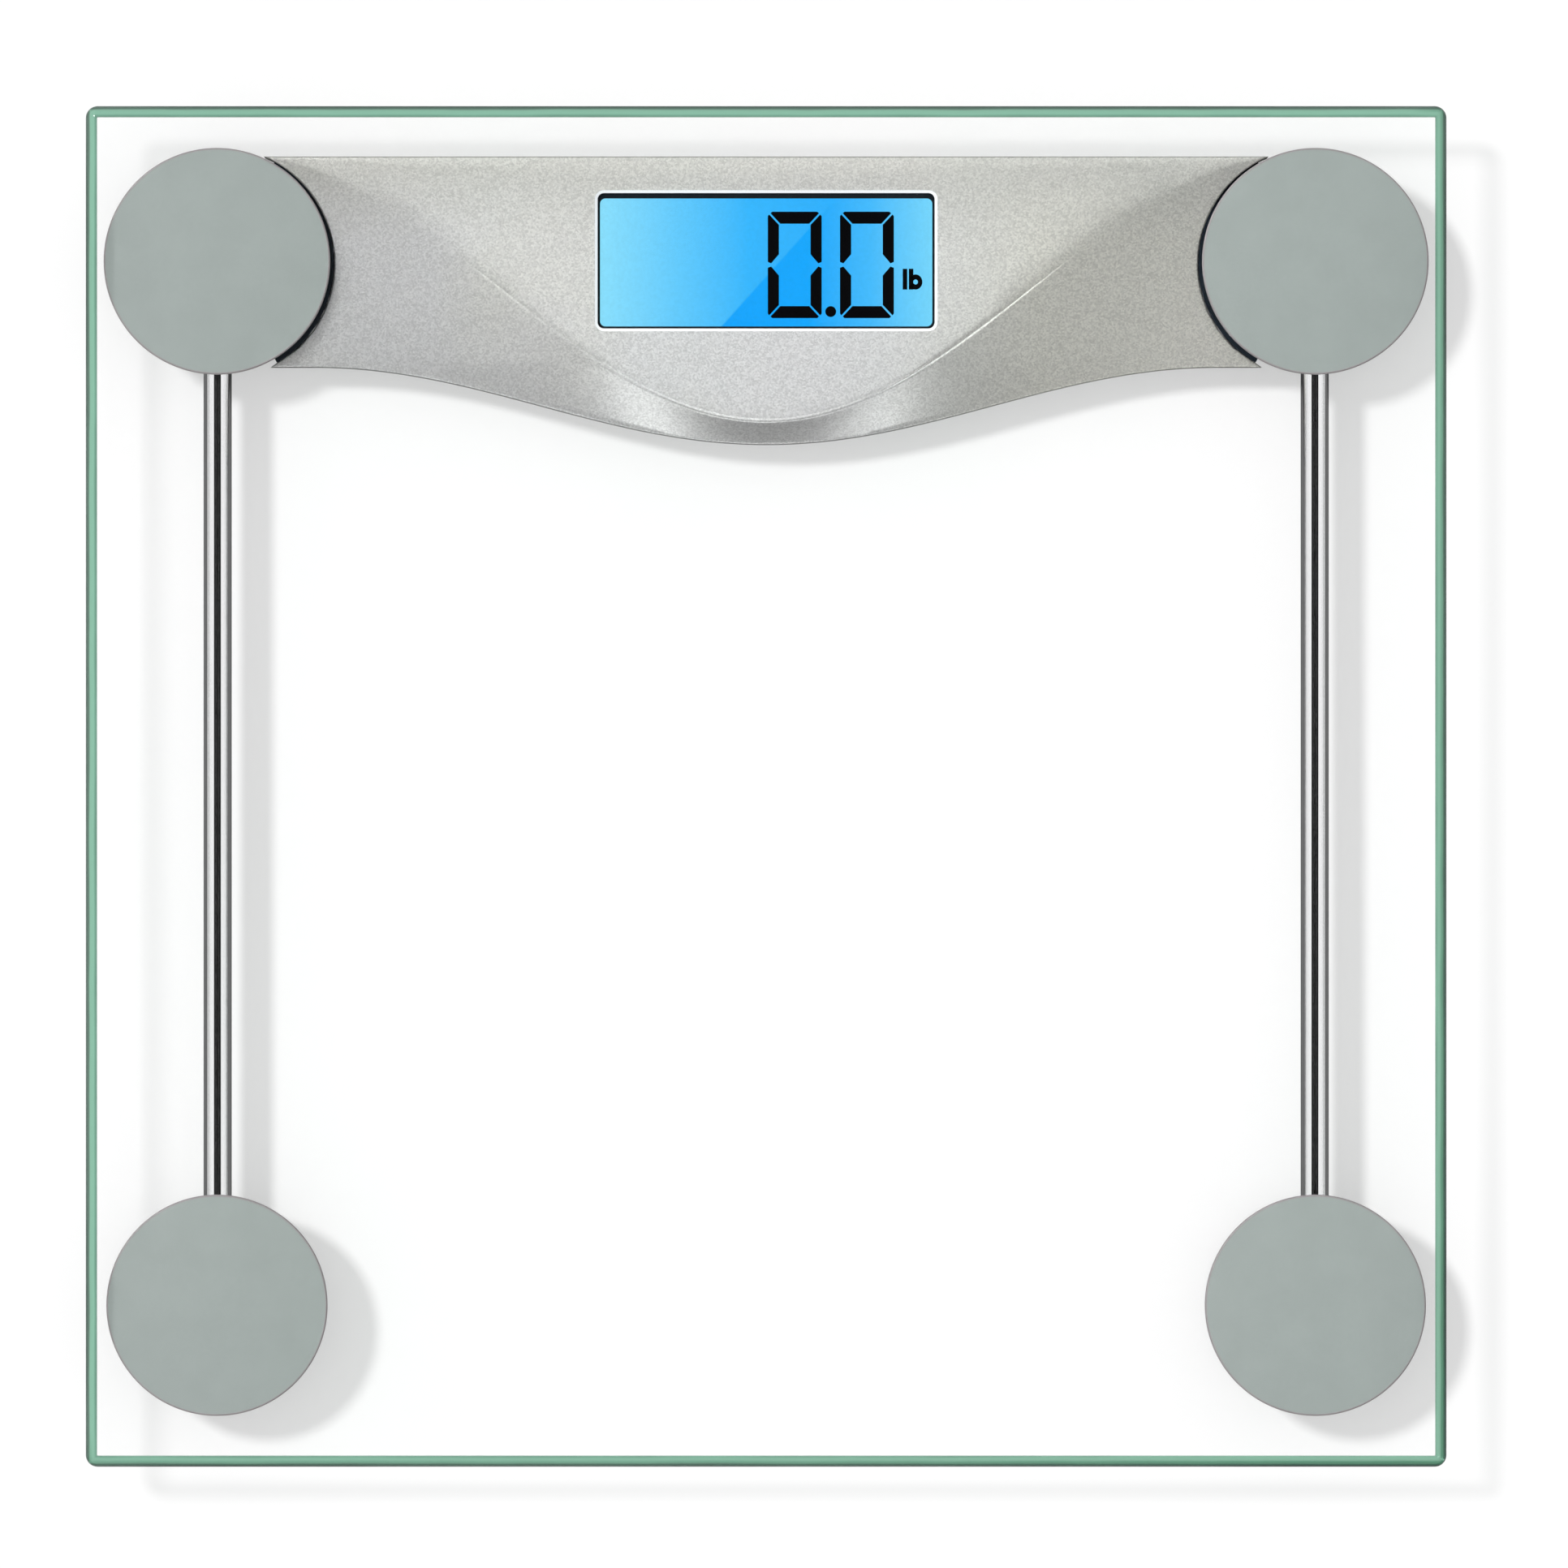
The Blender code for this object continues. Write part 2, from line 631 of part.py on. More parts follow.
def make_top_shell():
    """The painted shell with the ridge, the display window and four screw posts."""
    made = pod_top_solid("display_top_shell", 0.0, POD_TOP, POD_SPLIT, SILVER_PAINT)
    hollow_top = POD_TOP - SHELL_ROOF
    hollow = pod_top_solid("top_hollow", SHELL_WALL, hollow_top, POD_SPLIT - 0.002, SILVER_PAINT)
    cut(made, hollow)
    centre = (0.0, WINDOW_CENTRE_Y)
    wide = [side + 2 * WINDOW_CHAMFER for side in WINDOW_SIZE]
    over = 0.0004
    rings = [
        rounded_rectangle(WINDOW_SIZE, WINDOW_CORNER, hollow_top - 0.002, centre),
        rounded_rectangle(WINDOW_SIZE, WINDOW_CORNER, POD_TOP - WINDOW_CHAMFER, centre),
        rounded_rectangle(wide, WINDOW_CORNER + WINDOW_CHAMFER, POD_TOP, centre),
        rounded_rectangle(wide, WINDOW_CORNER + WINDOW_CHAMFER, POD_TOP + over, centre),
    ]
    cut(made, loft("window", rings, SILVER_PAINT))
    for label, side in (("left", -1), ("right", 1)):
        cut(made, end_notch(f"wire_notch_{label}", side))
    for name, place in SHELL_SCREWS.items():
        top = OUTER_POST_TOP if "outer" in name else hollow_top + 0.0005
        fuse(made, cylinder(f"post_{name}", POST_RADIUS, POST_BOTTOM, top, SILVER_PAINT, place))
        low = POST_BOTTOM - 0.001
        cut(made, cylinder(f"pilot_{name}", PILOT_RADIUS, low, PILOT_TOP, SILVER_PAINT, place))


def make_bottom_shell():
    """The under-tray: a battery bay with a door opening, a button hole and screw bosses."""
    rings = [
        pod_outline(0.0024, POD_BOTTOM),
        pod_outline(0.0012, POD_BOTTOM + 0.0009),
        pod_outline(0.0003, POD_BOTTOM + 0.0028),
        pod_outline(0.0, POD_SPLIT - GAP),
    ]
    made = loft("display_bottom_shell", rings, SHELL_GREY)
    floor = POD_BOTTOM + SHELL_FLOOR
    hollow = [
        pod_outline(SHELL_WALL + 0.0016, floor),
        pod_outline(SHELL_WALL + 0.0003, floor + 0.0018),
        pod_outline(SHELL_WALL, POD_SPLIT + 0.001),
    ]
    cut(made, loft("bottom_hollow", hollow, SHELL_GREY))

    half_x = BAY_HALF_LENGTH + 0.0012
    front = BATTERY_BAY_Y - DOOR_SIZE[1] / 2
    wall_high = 0.0090
    rear = BATTERY_BAY_Y + DOOR_SIZE[1] / 2
    for label, x in (("outer", BATTERY_BAY_X - half_x - 0.0012), ("inner", BATTERY_BAY_X + half_x)):
        low = (x, front - 0.0016, floor - 0.0005)
        fuse(made, box(f"bay_wall_{label}", low, (x + 0.0012, rear, wall_high), SHELL_GREY))
    low = (BATTERY_BAY_X - half_x - 0.0006, front - 0.0016, floor - 0.0005)
    high = (BATTERY_BAY_X + half_x + 0.0006, front - 0.0004, wall_high)
    fuse(made, box("bay_wall_front", low, high, SHELL_GREY))

    half_door = DOOR_SIZE[0] / 2
    low = (BATTERY_BAY_X - half_door - GAP, front - GAP, POD_BOTTOM - 0.001)
    high = (BATTERY_BAY_X + half_door + GAP, rear + GAP, floor + 0.0005)
    cut(made, box("door_opening", low, high, SHELL_GREY))
    low = (BATTERY_BAY_X - 0.0045, front - 0.0015, POD_BOTTOM - 0.001)
    high = (BATTERY_BAY_X + 0.0045, front + 0.001, POD_BOTTOM + 0.0012)
    cut(made, box("latch_opening", low, high, SHELL_GREY))
    for label, side in (("outer", -1), ("inner", 1)):
        x = BATTERY_BAY_X + side * half_door
        low = (min(x, x + side * 0.0018), HINGE_Y - 0.0008, POD_BOTTOM - 0.001)
        high = (max(x, x + side * 0.0018), HINGE_Y + 0.0008, floor + 0.0002)
        cut(made, box(f"hinge_pocket_{label}", low, high, SHELL_GREY))

    cut(made, cylinder("button_hole", BUTTON_RADIUS + GAP, 0.002, 0.006, SHELL_GREY,
                       BUTTON_PLACE, sides=24))
    for name, place in SHELL_SCREWS.items():
        low = floor - 0.0005
        fuse(made, cylinder(f"boss_{name}", BOSS_RADIUS, low, BOSS_TOP, SHELL_GREY, place))
        low = POD_BOTTOM - 0.001
        cut(made, cylinder(f"clearance_{name}", 0.0015, low, BOSS_TOP + 0.001, SHELL_GREY, place))
        recess_top = SCREW_HEAD_TOP + GAP
        cut(made, cylinder(f"head_recess_{name}", 0.0027, low, recess_top, SHELL_GREY, place))


def make_shell_screws():
    """Pan-head screws that rise through the tray into the top shell's posts."""
    shank, head = 0.0011, 0.0022
    profile = [
        (0.0, SCREW_TIP),
        (shank, SCREW_TIP - 0.0002),
        (shank, SCREW_HEAD_TOP),
        (head, SCREW_HEAD_TOP),
        (head, SCREW_HEAD_BOTTOM + 0.0003),
        (head - 0.0004, SCREW_HEAD_BOTTOM),
        (0.0, SCREW_HEAD_BOTTOM),
    ]
    made = turned("shell_screw", profile, SCREW_STEEL, sides=ROUND_SMALL)
    for angle in (0, 90):
        low = (-0.0012, -0.00025, SCREW_HEAD_BOTTOM - 0.0008)
        blade = box("blade", low, (0.0012, 0.00025, SCREW_HEAD_BOTTOM + 0.0005), SCREW_STEEL)
        blade.rotation_euler = (0.0, 0.0, math.radians(angle))
        cut(made, blade)
    mesh = finished_mesh(made)
    for name, place in SHELL_SCREWS.items():
        add_object(f"shell_screw_{name}", mesh, SCREW_STEEL, (*place, 0.0))


# The display
def make_display():
    """The liquid-crystal panel, the light behind it, and the board below both."""
    rear = WINDOW_REAR_Y + 0.0032
    front = WINDOW_CENTRE_Y - WINDOW_SIZE[1] / 2 - 0.0016
    side = WINDOW_SIZE[0] / 2 + 0.0013
    centre = (0.0, (front + rear) / 2)
    size = (2 * side, rear - front)
    plate("lcd_panel", size, 0.0003, LCD_BOTTOM, LCD_TOP, centre, LCD_BLUE)

    band_rear, band_front, band_side = 0.00095, 0.00035, 0.0004
    low = LCD_TOP + GAP
    outer = [size_of + 0.0016 for size_of in WINDOW_SIZE]
    gasket = plate("lcd_gasket", outer, 0.0008, low, low + GAP, (0.0, WINDOW_CENTRE_Y), FOAM_BLACK)
    opening = (WINDOW_SIZE[0] - 2 * band_side, WINDOW_SIZE[1] - band_rear - band_front)
    middle = (0.0, WINDOW_CENTRE_Y - (band_rear - band_front) / 2)
    cut(gasket, plate("gasket_opening", opening, 0.001, low - 0.001, low + 0.002, middle, FOAM_BLACK))

    zebra_depth = 0.0018
    light_rear = rear - zebra_depth - 0.0006
    low = (-side + 0.001, front + 0.001, BACKLIGHT_BOTTOM)
    box("backlight_panel", low, (side - 0.001, light_rear, BACKLIGHT_TOP), DIFFUSER)
    low = (-side + 0.003, rear - zebra_depth - 0.0001, BACKLIGHT_BOTTOM)
    box("zebra_strip", low, (side - 0.003, rear - 0.0001, BACKLIGHT_TOP), ZEBRA)

    centre = ((BOARD_LEFT + BOARD_RIGHT) / 2, (front + rear) / 2)
    size = (BOARD_RIGHT - BOARD_LEFT, rear - front)
    plate("main_board", size, 0.001, BOARD_BOTTOM, BOARD_TOP, centre, BOARD_GREEN)


# The unit button
def make_unit_button():
    """The push button under the housing and the switch that it presses."""
    inside = POD_BOTTOM + SHELL_FLOOR + GAP
    low = POD_BOTTOM + 0.0003
    profile = [
        (0.0, BUTTON_TOP),
        (0.0020, BUTTON_TOP),
        (0.0020, inside + 0.0007),
        (BUTTON_RADIUS + 0.0010, inside + 0.0007),
        (BUTTON_RADIUS + 0.0010, inside),
        (BUTTON_RADIUS, inside),
        (BUTTON_RADIUS, low + 0.0004),
        (BUTTON_RADIUS - 0.0004, low),
        (0.0, low),
    ]
    turned("unit_button", profile, BUTTON_GREY, sides=24, place=(*BUTTON_PLACE, 0.0))
    x, y = BUTTON_PLACE
    half = 0.003
    top = BOARD_BOTTOM - GAP
    body_low = top - 0.0030
    body = box("unit_switch", (x - half, y - half, body_low), (x + half, y + half, top), SWITCH_BLACK)
    stem_low = BUTTON_TOP + BUTTON_TRAVEL + GAP
    fuse(body, cylinder("switch_stem", 0.0017, stem_low, body_low + 0.0005, SWITCH_BLACK, (x, y)))


# The battery bay
def make_battery_cells():
    """Two AAA cells, head to tail, each with a spring at its flat end."""
    low = -(AAA_LENGTH + AAA_NUB_LENGTH) / 2
    shoulder = low + AAA_LENGTH
    tip = shoulder + AAA_NUB_LENGTH
    profile = [
        (0.0, tip),
        (AAA_NUB_RADIUS, tip),
        (AAA_NUB_RADIUS, shoulder),
        (AAA_RADIUS - 0.0004, shoulder),
        (AAA_RADIUS, shoulder - 0.0004),
        (AAA_RADIUS, low + 0.0004),
        (AAA_RADIUS - 0.0004, low),
        (0.0, low),
    ]
    mesh = finished_mesh(turned("battery_cell", profile, BATTERY_WRAP, sides=20))
    for name, side in (("front", -1), ("rear", 1)):
        shift = side * 0.0013
        place = (BATTERY_BAY_X + shift, BATTERY_BAY_Y + side * BATTERY_PITCH / 2, AAA_HEIGHT)
        made = add_object(f"battery_cell_{name}", mesh, BATTERY_WRAP, place)
        made.rotation_euler = (0.0, math.radians(90 * side), 0.0)
        make_battery_spring(name, side, place, shift)


def make_battery_spring(name, side, cell_place, shift):
    """A conical spring between a cell's flat end and its contact plate."""
    flat_end = cell_place[0] - side * (AAA_LENGTH + AAA_NUB_LENGTH) / 2
    thick = 0.0003
    plate_face = BATTERY_BAY_X - side * (BAY_HALF_LENGTH + 0.0002)
    start = flat_end - side * (GAP + thick)
    end = plate_face + side * (GAP + thick)
    turns, per_turn = 2.5, 10
    count = int(turns * per_turn)
    points = []
    for step in range(count + 1):
        share = step / count
        angle = 2 * math.pi * turns * share
        radius = 0.0019 + 0.0013 * share
        x = start + (end - start) * share
        y = cell_place[1] + radius * math.cos(angle)
        points.append((x, y, cell_place[2] + radius * math.sin(angle)))
    wire(f"battery_spring_{name}", points, thick, CONTACT_NICKEL, samples=1)


def make_battery_contacts():
    """The plates at the ends of the bay, and the leads from two of them to the board."""
    thick = 0.0005
    low_z, high_z = BAY_FLOOR + 0.0012, 0.0122
    half = BATTERY_PITCH / 2 + 0.0040
    x = BATTERY_BAY_X - BAY_HALF_LENGTH - 0.0002
    low = (x - thick, BATTERY_BAY_Y - half, low_z)
    box("contact_bridge", low, (x, BATTERY_BAY_Y + half, high_z), CONTACT_NICKEL)
    x = BATTERY_BAY_X + BAY_HALF_LENGTH + 0.0002
    for name, side, material in (("front", -1, SWITCH_BLACK), ("rear", 1, WIRE_RED)):
        y = BATTERY_BAY_Y + side * BATTERY_PITCH / 2
        low = (x, y - 0.0040, low_z)
        box(f"contact_{name}", low, (x + thick, y + 0.0040, high_z), CONTACT_NICKEL)
        route = [
            (x + thick + GAP, y, 0.0104),
            (x + 0.0020, y, 0.0106),
            (x + 0.0030, y, 0.0112),
            (BOARD_LEFT - GAP, y, (BOARD_TOP + BOARD_BOTTOM) / 2),
        ]
        wire(f"battery_lead_{name}", route, 0.0005, material)


def make_battery_door():
    """The door in the tray, with a rounded hinge edge, two hinge pins and a latch tongue."""
    half_x = DOOR_SIZE[0] / 2
    front = BATTERY_BAY_Y - DOOR_SIZE[1] / 2
    radius = DOOR_THICK / 2
    outline = [(front, POD_BOTTOM), (front, POD_BOTTOM + DOOR_THICK)]
    for step in range(7):
        angle = math.radians(90 - 30 * step)
        outline.append((HINGE_Y + radius * math.cos(angle), HINGE_Z + radius * math.sin(angle)))
    rings = [
        [(side * half_x, y - HINGE_Y, z - HINGE_Z) for y, z in outline] for side in (-1, 1)
    ]
    made = loft("battery_door", rings, SHELL_GREY)
    made.location = (BATTERY_BAY_X, HINGE_Y, HINGE_Z)
    pin = cylinder("hinge_pins", 0.0005, -half_x - 0.0012, half_x + 0.0012, SHELL_GREY)
    pin.rotation_euler = (0.0, math.radians(90), 0.0)
    pin.location = made.location
    fuse(made, pin)
    low = (BATTERY_BAY_X - 0.0040, front - 0.0011, POD_BOTTOM)
    high = (BATTERY_BAY_X + 0.0040, front + 0.0020, POD_BOTTOM + 0.0009)
    fuse(made, box("latch_tongue", low, high, SHELL_GREY))


# The load-cell wires
def make_cell_wires():
    """Each load cell's lead: the front ones run inside the rail tubes."""
    board_edge = (BOARD_TOP + BOARD_BOTTOM) / 2
    for label, side in (("left", -1), ("right", 1)):
        x = side * FOOT_X
        inward = -side
        turn = 0.0193  # radius at which a front lead passes round the rear load cell
        front_route = [
            (x, FOOT_FRONT_Y + CELL_SIDE / 2 + 0.0012, CELL_TOP - 0.0009),
            (x, FOOT_FRONT_Y + CELL_SIDE / 2 + 0.0038, TUBE_HEIGHT - 0.0006),
            (x, FOOT_FRONT_Y + TUBE_SOCKET_DEPTH + 0.002, TUBE_HEIGHT),
            (x, 0.0, TUBE_HEIGHT),
            (x, FOOT_REAR_Y - TUBE_SOCKET_DEPTH - 0.002, TUBE_HEIGHT),
        ]
        for angle in (-85, -60, -40, -22):
            around = math.radians(angle)
            y = FOOT_REAR_Y + turn * math.sin(around)
            front_route.append((x + inward * turn * math.cos(around), y, TUBE_HEIGHT))
        rear_route = [
            (x + inward * (CELL_SIDE / 2 + 0.0010), FOOT_REAR_Y - 0.0018, CELL_TOP - 0.0009),
            (x + inward * 0.0195, FOOT_REAR_Y - 0.0018, 0.0128),
        ]
        door_y = {"front": FOOT_REAR_Y - 0.0038, "rear": FOOT_REAR_Y - 0.0018}
        for row, route in (("front", front_route), ("rear", rear_route)):
            y = door_y[row]
            route += [(x + inward * 0.0222, y, 0.0125), (x + inward * 0.0280, y, 0.0125)]
            lane = 0.1084 if row == "front" else 0.1100
            if side < 0:
                route += [
                    (-0.0905, lane, 0.0100),
                    (-0.0850, lane, 0.0085),
                    (-0.0600, lane, 0.0085),
                    (-0.0395, lane, 0.0090),
                    (-0.0350, lane, 0.0105),
                    (BOARD_LEFT - GAP, lane, board_edge),
                ]
            else:
                board_side = BOARD_RIGHT + 0.0004
                route += [(0.0800, lane + 0.002, 0.0115), (board_side, lane + 0.002, board_edge)]
            wire(f"cell_wire_{row}_{label}", route, WIRE_RADIUS, WIRE_WHITE, samples=2)


make_glass()
make_feet()
make_rail_tubes()
make_top_shell()
make_bottom_shell()
make_shell_screws()
make_display()
make_unit_button()
make_battery_cells()
make_battery_contacts()
make_battery_door()
make_cell_wires()
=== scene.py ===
"""Looks of the glass platform scale: fine outer pieces, finishes, floor, light and camera.

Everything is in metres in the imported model's frame: +Z up, +Y towards the display side.
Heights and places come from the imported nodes. Outer pieces stand for their plainer nodes;
the inner nodes keep their own meshes and only get a finish.
"""

import math

import bmesh
import bpy
from mathutils import Matrix, Vector


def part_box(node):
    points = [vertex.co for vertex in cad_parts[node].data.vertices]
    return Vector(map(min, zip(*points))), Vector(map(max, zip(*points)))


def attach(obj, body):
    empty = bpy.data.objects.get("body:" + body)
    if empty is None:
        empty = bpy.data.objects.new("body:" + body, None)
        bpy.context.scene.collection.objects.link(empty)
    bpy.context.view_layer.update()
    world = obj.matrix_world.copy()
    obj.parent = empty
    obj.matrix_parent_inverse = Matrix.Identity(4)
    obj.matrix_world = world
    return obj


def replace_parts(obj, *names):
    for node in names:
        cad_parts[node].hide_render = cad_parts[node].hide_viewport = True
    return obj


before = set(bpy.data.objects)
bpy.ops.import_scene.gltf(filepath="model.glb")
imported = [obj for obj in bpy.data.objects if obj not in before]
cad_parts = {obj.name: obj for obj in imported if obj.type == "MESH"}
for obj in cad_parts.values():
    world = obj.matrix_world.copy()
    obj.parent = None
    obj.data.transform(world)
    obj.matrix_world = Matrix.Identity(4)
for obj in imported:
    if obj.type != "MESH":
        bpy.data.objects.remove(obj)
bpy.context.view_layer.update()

MM = 0.001

# The sun's light travels down, to the right and to the front
SUN_SLOPE = (0.58, -0.35)  # sideways travel per unit of fall
SUN_SPREAD = math.radians(8)
SUN_STRENGTH = 2.6
SKY_LEVEL = 0.90
FLOOR_WHITE = 0.42
FLOOR_GLOW = 0.38  # keeps the shadows pale
GLASS_GAIN = 0.075  # glow that makes up for what the glass takes away
FLOOR_REACH = 30.0

# What shows in gloss under the glass: where to, spread in degrees, level
SOFTBOX = ((-0.04, 0.11, 1.0), 19, 0.17, 1.95)  # the last two: beyond the spread, at its middle
CARDS = (
    ((-0.34, -0.92, 0.18), 31, 2.8),
    ((0.30, -0.94, 0.16), 30, 2.4),
    ((0.0, 0.95, 0.40), 45, 1.2),
    ((-0.46, -0.46, 0.76), 24, 0.35),
    ((0.45, -0.40, 0.80), 24, 0.40),
)
SIDE_PANEL_LEVEL = 1.05

# What shows in other gloss: walls, brighter near the horizon, and a dark zenith
HORIZON_LEVEL, WALL_LEVEL, ZENITH_LEVEL = 0.92, 0.5, 0.05

FEET = ("front_left", "front_right", "rear_left", "rear_right")

GLASS_ROUND = 2.4 * MM  # the width of the platform's rounded edge

# The display housing's outline
POD_REAR_Y = 139.0 * MM
POD_FRONT_LOW_Y = 75.6 * MM
POD_FRONT_RISE = 17.1 * MM
POD_FRONT_HALF = 100.0 * MM
POD_RIDGE_LOW_Y = 80.5 * MM
POD_RIDGE_PHASE = math.radians(167.4)
POD_HOLLOW_RADIUS = 25.55 * MM
POD_HOLLOW_SHIFT = 0.42 * MM
POD_HOLLOW_TURN = math.radians(58)
POD_DROP = 6.0 * MM
SHELL_WALL = 1.6 * MM
SHELL_ROOF = 1.2 * MM
WINDOW_SIZE = (74.4 * MM, 29.9 * MM)
WINDOW_CENTRE_Y = 116.0 * MM
WINDOW_CORNER = 1.4 * MM
WINDOW_CHAMFER = 0.6 * MM
# The glare line is a reflection painted into the display's glow
GLARE_LOW = (-10.2 * MM, 101.2 * MM)  # the slanting glare line's ends on the display
GLARE_HIGH = (15.0 * MM, 129.3 * MM)
GLARE_BLUR = 0.25 * MM
INK_THICK = 0.06 * MM
INK_GAP = 0.01 * MM  # the segments lie just over the panel's face


# Mesh helpers
def add_object(name, data, finishes=()):
    """An object in the scene: a mesh with its finishes, a lamp or a camera."""
    made = bpy.data.objects.new(name, data)
    bpy.context.scene.collection.objects.link(made)
    for finish in finishes:
        data.materials.append(finish)
    return made


def add_mesh(name, points, faces, finishes, index=()):
    """A mesh object from points and faces; index has the finish number of each face."""
    mesh = bpy.data.meshes.new(name)
    mesh.from_pydata([tuple(p) for p in points], [], faces)
    mesh.update()
    made = add_object(name, mesh, finishes)
    for face, number in zip(mesh.polygons, index):
        face.material_index = number
    return made


def add_form(name, form, finishes):
    """A mesh object from a bmesh, which it uses up."""
    mesh = bpy.data.meshes.new(name)
    form.to_mesh(mesh)
    form.free()
    return add_object(name, mesh, finishes)


def middle_of(low, high):
    """The middle of a box, seen from above."""
    return ((low.x + high.x) / 2, (low.y + high.y) / 2)


def smooth(made, angle=35):
    """Smooth shading, with edges sharper than the angle kept crisp."""
    made.data.shade_smooth()
    made.data.set_sharp_from_angle(angle=math.radians(angle))


def cut(made, cutter):
    """Takes the cutter's form out of the object and removes the cutter."""
    tool = made.modifiers.new("cut", "BOOLEAN")
    tool.operation = "DIFFERENCE"
    tool.solver = "EXACT"
    tool.object = cutter
    graph = bpy.context.evaluated_depsgraph_get()
    mesh = bpy.data.meshes.new_from_object(made.evaluated_get(graph))
    made.modifiers.clear()
    made.data = mesh
    bpy.data.objects.remove(cutter, do_unlink=True)


def lathe(name, profile, centre, finishes, sides=96, finish_of=None):
    """A turned solid about an upright axis from (radius, height) points, top to bottom.

    A profile that starts on the axis also ends there; any other closes into a ring.
    finish_of gives the finish index of each step along the profile.
    """
    points, faces, rows = [], [], []
    closed_ring = profile[0][0] > 0
    for radius, height in profile:
        if radius == 0:
            rows.append([len(points)] * sides)
            points.append((centre[0], centre[1], height))
            continue
        rows.append(list(range(len(points), len(points) + sides)))
        for i in range(sides):
            angle = 2 * math.pi * i / sides
            x = centre[0] + radius * math.cos(angle)
            points.append((x, centre[1] + radius * math.sin(angle), height))
    index = []
    pairs = list(zip(rows, rows[1:]))
    if closed_ring:
        pairs.append((rows[-1], rows[0]))
    for step, (upper, lower) in enumerate(pairs):
        for i in range(sides):
            k = (i + 1) % sides
            corners = [upper[i], lower[i], lower[k], upper[k]]
            face = list(dict.fromkeys(corners))
            if len(face) > 2:
                faces.append(face)
                index.append(finish_of[step] if finish_of else 0)
    made = add_mesh(name, points, faces, finishes, index)
    smooth(made)
    return made


def arc(centre, radius, start, end, steps):
    """Points along an arc, the last one too, with angles in degrees."""
    points = []
    for i in range(steps + 1):
        angle = math.radians(start + (end - start) * i / steps)
        x = centre[0] + radius * math.cos(angle)
        points.append((x, centre[1] + radius * math.sin(angle)))
    return points


def rounded_rectangle(size, radius, height, centre=(0.0, 0.0), steps=8):
    """A level ring of points, each corner a quarter circle."""
    half_x, half_y = size[0] / 2 - radius, size[1] / 2 - radius
    points = []
    for quarter, (side_x, side_y) in enumerate(((1, 1), (-1, 1), (-1, -1), (1, -1))):
        for step in range(steps + 1):
            angle = math.radians(90 * (quarter + step / steps))
            x = centre[0] + side_x * half_x + radius * math.cos(angle)
            y = centre[1] + side_y * half_y + radius * math.sin(angle)
            points.append((x, y, height))
    return points


def loft(name, rings, finishes, finish_of=None):
    """A closed solid through rings of equally many points, from the lowest to the highest."""
    count = len(rings[0])
    points = [point for ring in rings for point in ring]
    faces, index = [list(reversed(range(count)))], [0]
    for level in range(len(rings) - 1):
        for i in range(count):
            k = (i + 1) % count
            low, high = level * count, (level + 1) * count
            faces.append([low + i, low + k, high + k, high + i])
            index.append(finish_of[level] if finish_of else 0)
    faces.append([(len(rings) - 1) * count + i for i in range(count)])
    index.append(0)
    return add_mesh(name, points, faces, finishes, index)


def flat_ends_stay_flat(made):
    """Keeps a loft's two end faces flat, with crisp edges round them."""
    mesh = made.data
    edges = {tuple(sorted(edge.vertices)): edge for edge in mesh.edges}
    for face in (mesh.polygons[0], mesh.polygons[len(mesh.polygons) - 1]):
        face.use_smooth = False
        for key in face.edge_keys:
            edges[tuple(sorted(key))].use_edge_sharp = True


# Finishes
def set_inputs(made, values):
    """Sets a shader node's inputs from their names and values."""
    for name, value in values.items():
        made.inputs[name].default_value = value


def new_finish(name, color, roughness, metallic=0.0, specular=0.5):
    material = bpy.data.materials.new(name)
    material.use_nodes = True
    shader = material.node_tree.nodes["Principled BSDF"]
    set_inputs(shader, {"Base Color": (*color, 1.0), "Roughness": roughness,
                        "Metallic": metallic, "Specular IOR Level": specular})
    return material, material.node_tree, shader


def node(tree, kind, **settings):
    """Adds a shader node with its settings."""
    made = tree.nodes.new(kind)
    for name, value in settings.items():
        setattr(made, name, value)
    return made


def link(tree, source, target):
    tree.links.new(source, target)


def feed(tree, socket, value):
    """Sets a socket to a number or a colour, or links an output to it."""
    if isinstance(value, (int, float)):
        socket.default_value = value
    elif isinstance(value, tuple):
        socket.default_value = (*value, 1.0)
    elif value is not None:
        link(tree, value, socket)


def object_place(tree):
    """Where a point lies in the object's own frame, in metres."""
    return node(tree, "ShaderNodeTexCoord").outputs["Object"]


def coordinates(tree, place):
    """The X, Y and Z of a place."""
    split = node(tree, "ShaderNodeSeparateXYZ")
    link(tree, place, split.inputs["Vector"])
    return split.outputs["X"], split.outputs["Y"], split.outputs["Z"]


def grey(tree, value):
    """A colour whose three channels all hold the value."""
    made = node(tree, "ShaderNodeCombineColor")
    for channel in ("Red", "Green", "Blue"):
        link(tree, value, made.inputs[channel])
    return made.outputs["Color"]


def noise(tree, place, size, detail=3.0, stretch=None):
    """Noise whose features are about size across."""
    if stretch:
        mapping = node(tree, "ShaderNodeMapping")
        mapping.inputs["Scale"].default_value = stretch
        link(tree, place, mapping.inputs["Vector"])
        place = mapping.outputs["Vector"]
    made = node(tree, "ShaderNodeTexNoise")
    set_inputs(made, {"Scale": 1 / size, "Detail": detail})
    link(tree, place, made.inputs["Vector"])
    return made.outputs["Fac"]


def remap(tree, value, low, high, start=0.35, end=0.65):
    """Maps start..end of a value to low..high."""
    made = node(tree, "ShaderNodeMapRange")
    set_inputs(made, {"From Min": start, "From Max": end, "To Min": low, "To Max": high})
    link(tree, value, made.inputs["Value"])
    return made.outputs["Result"]


def math_node(tree, operation, first, second=None):
    made = node(tree, "ShaderNodeMath", operation=operation)
    for socket, value in zip(made.inputs, (first, second)):
        feed(tree, socket, value)
    return made.outputs["Value"]


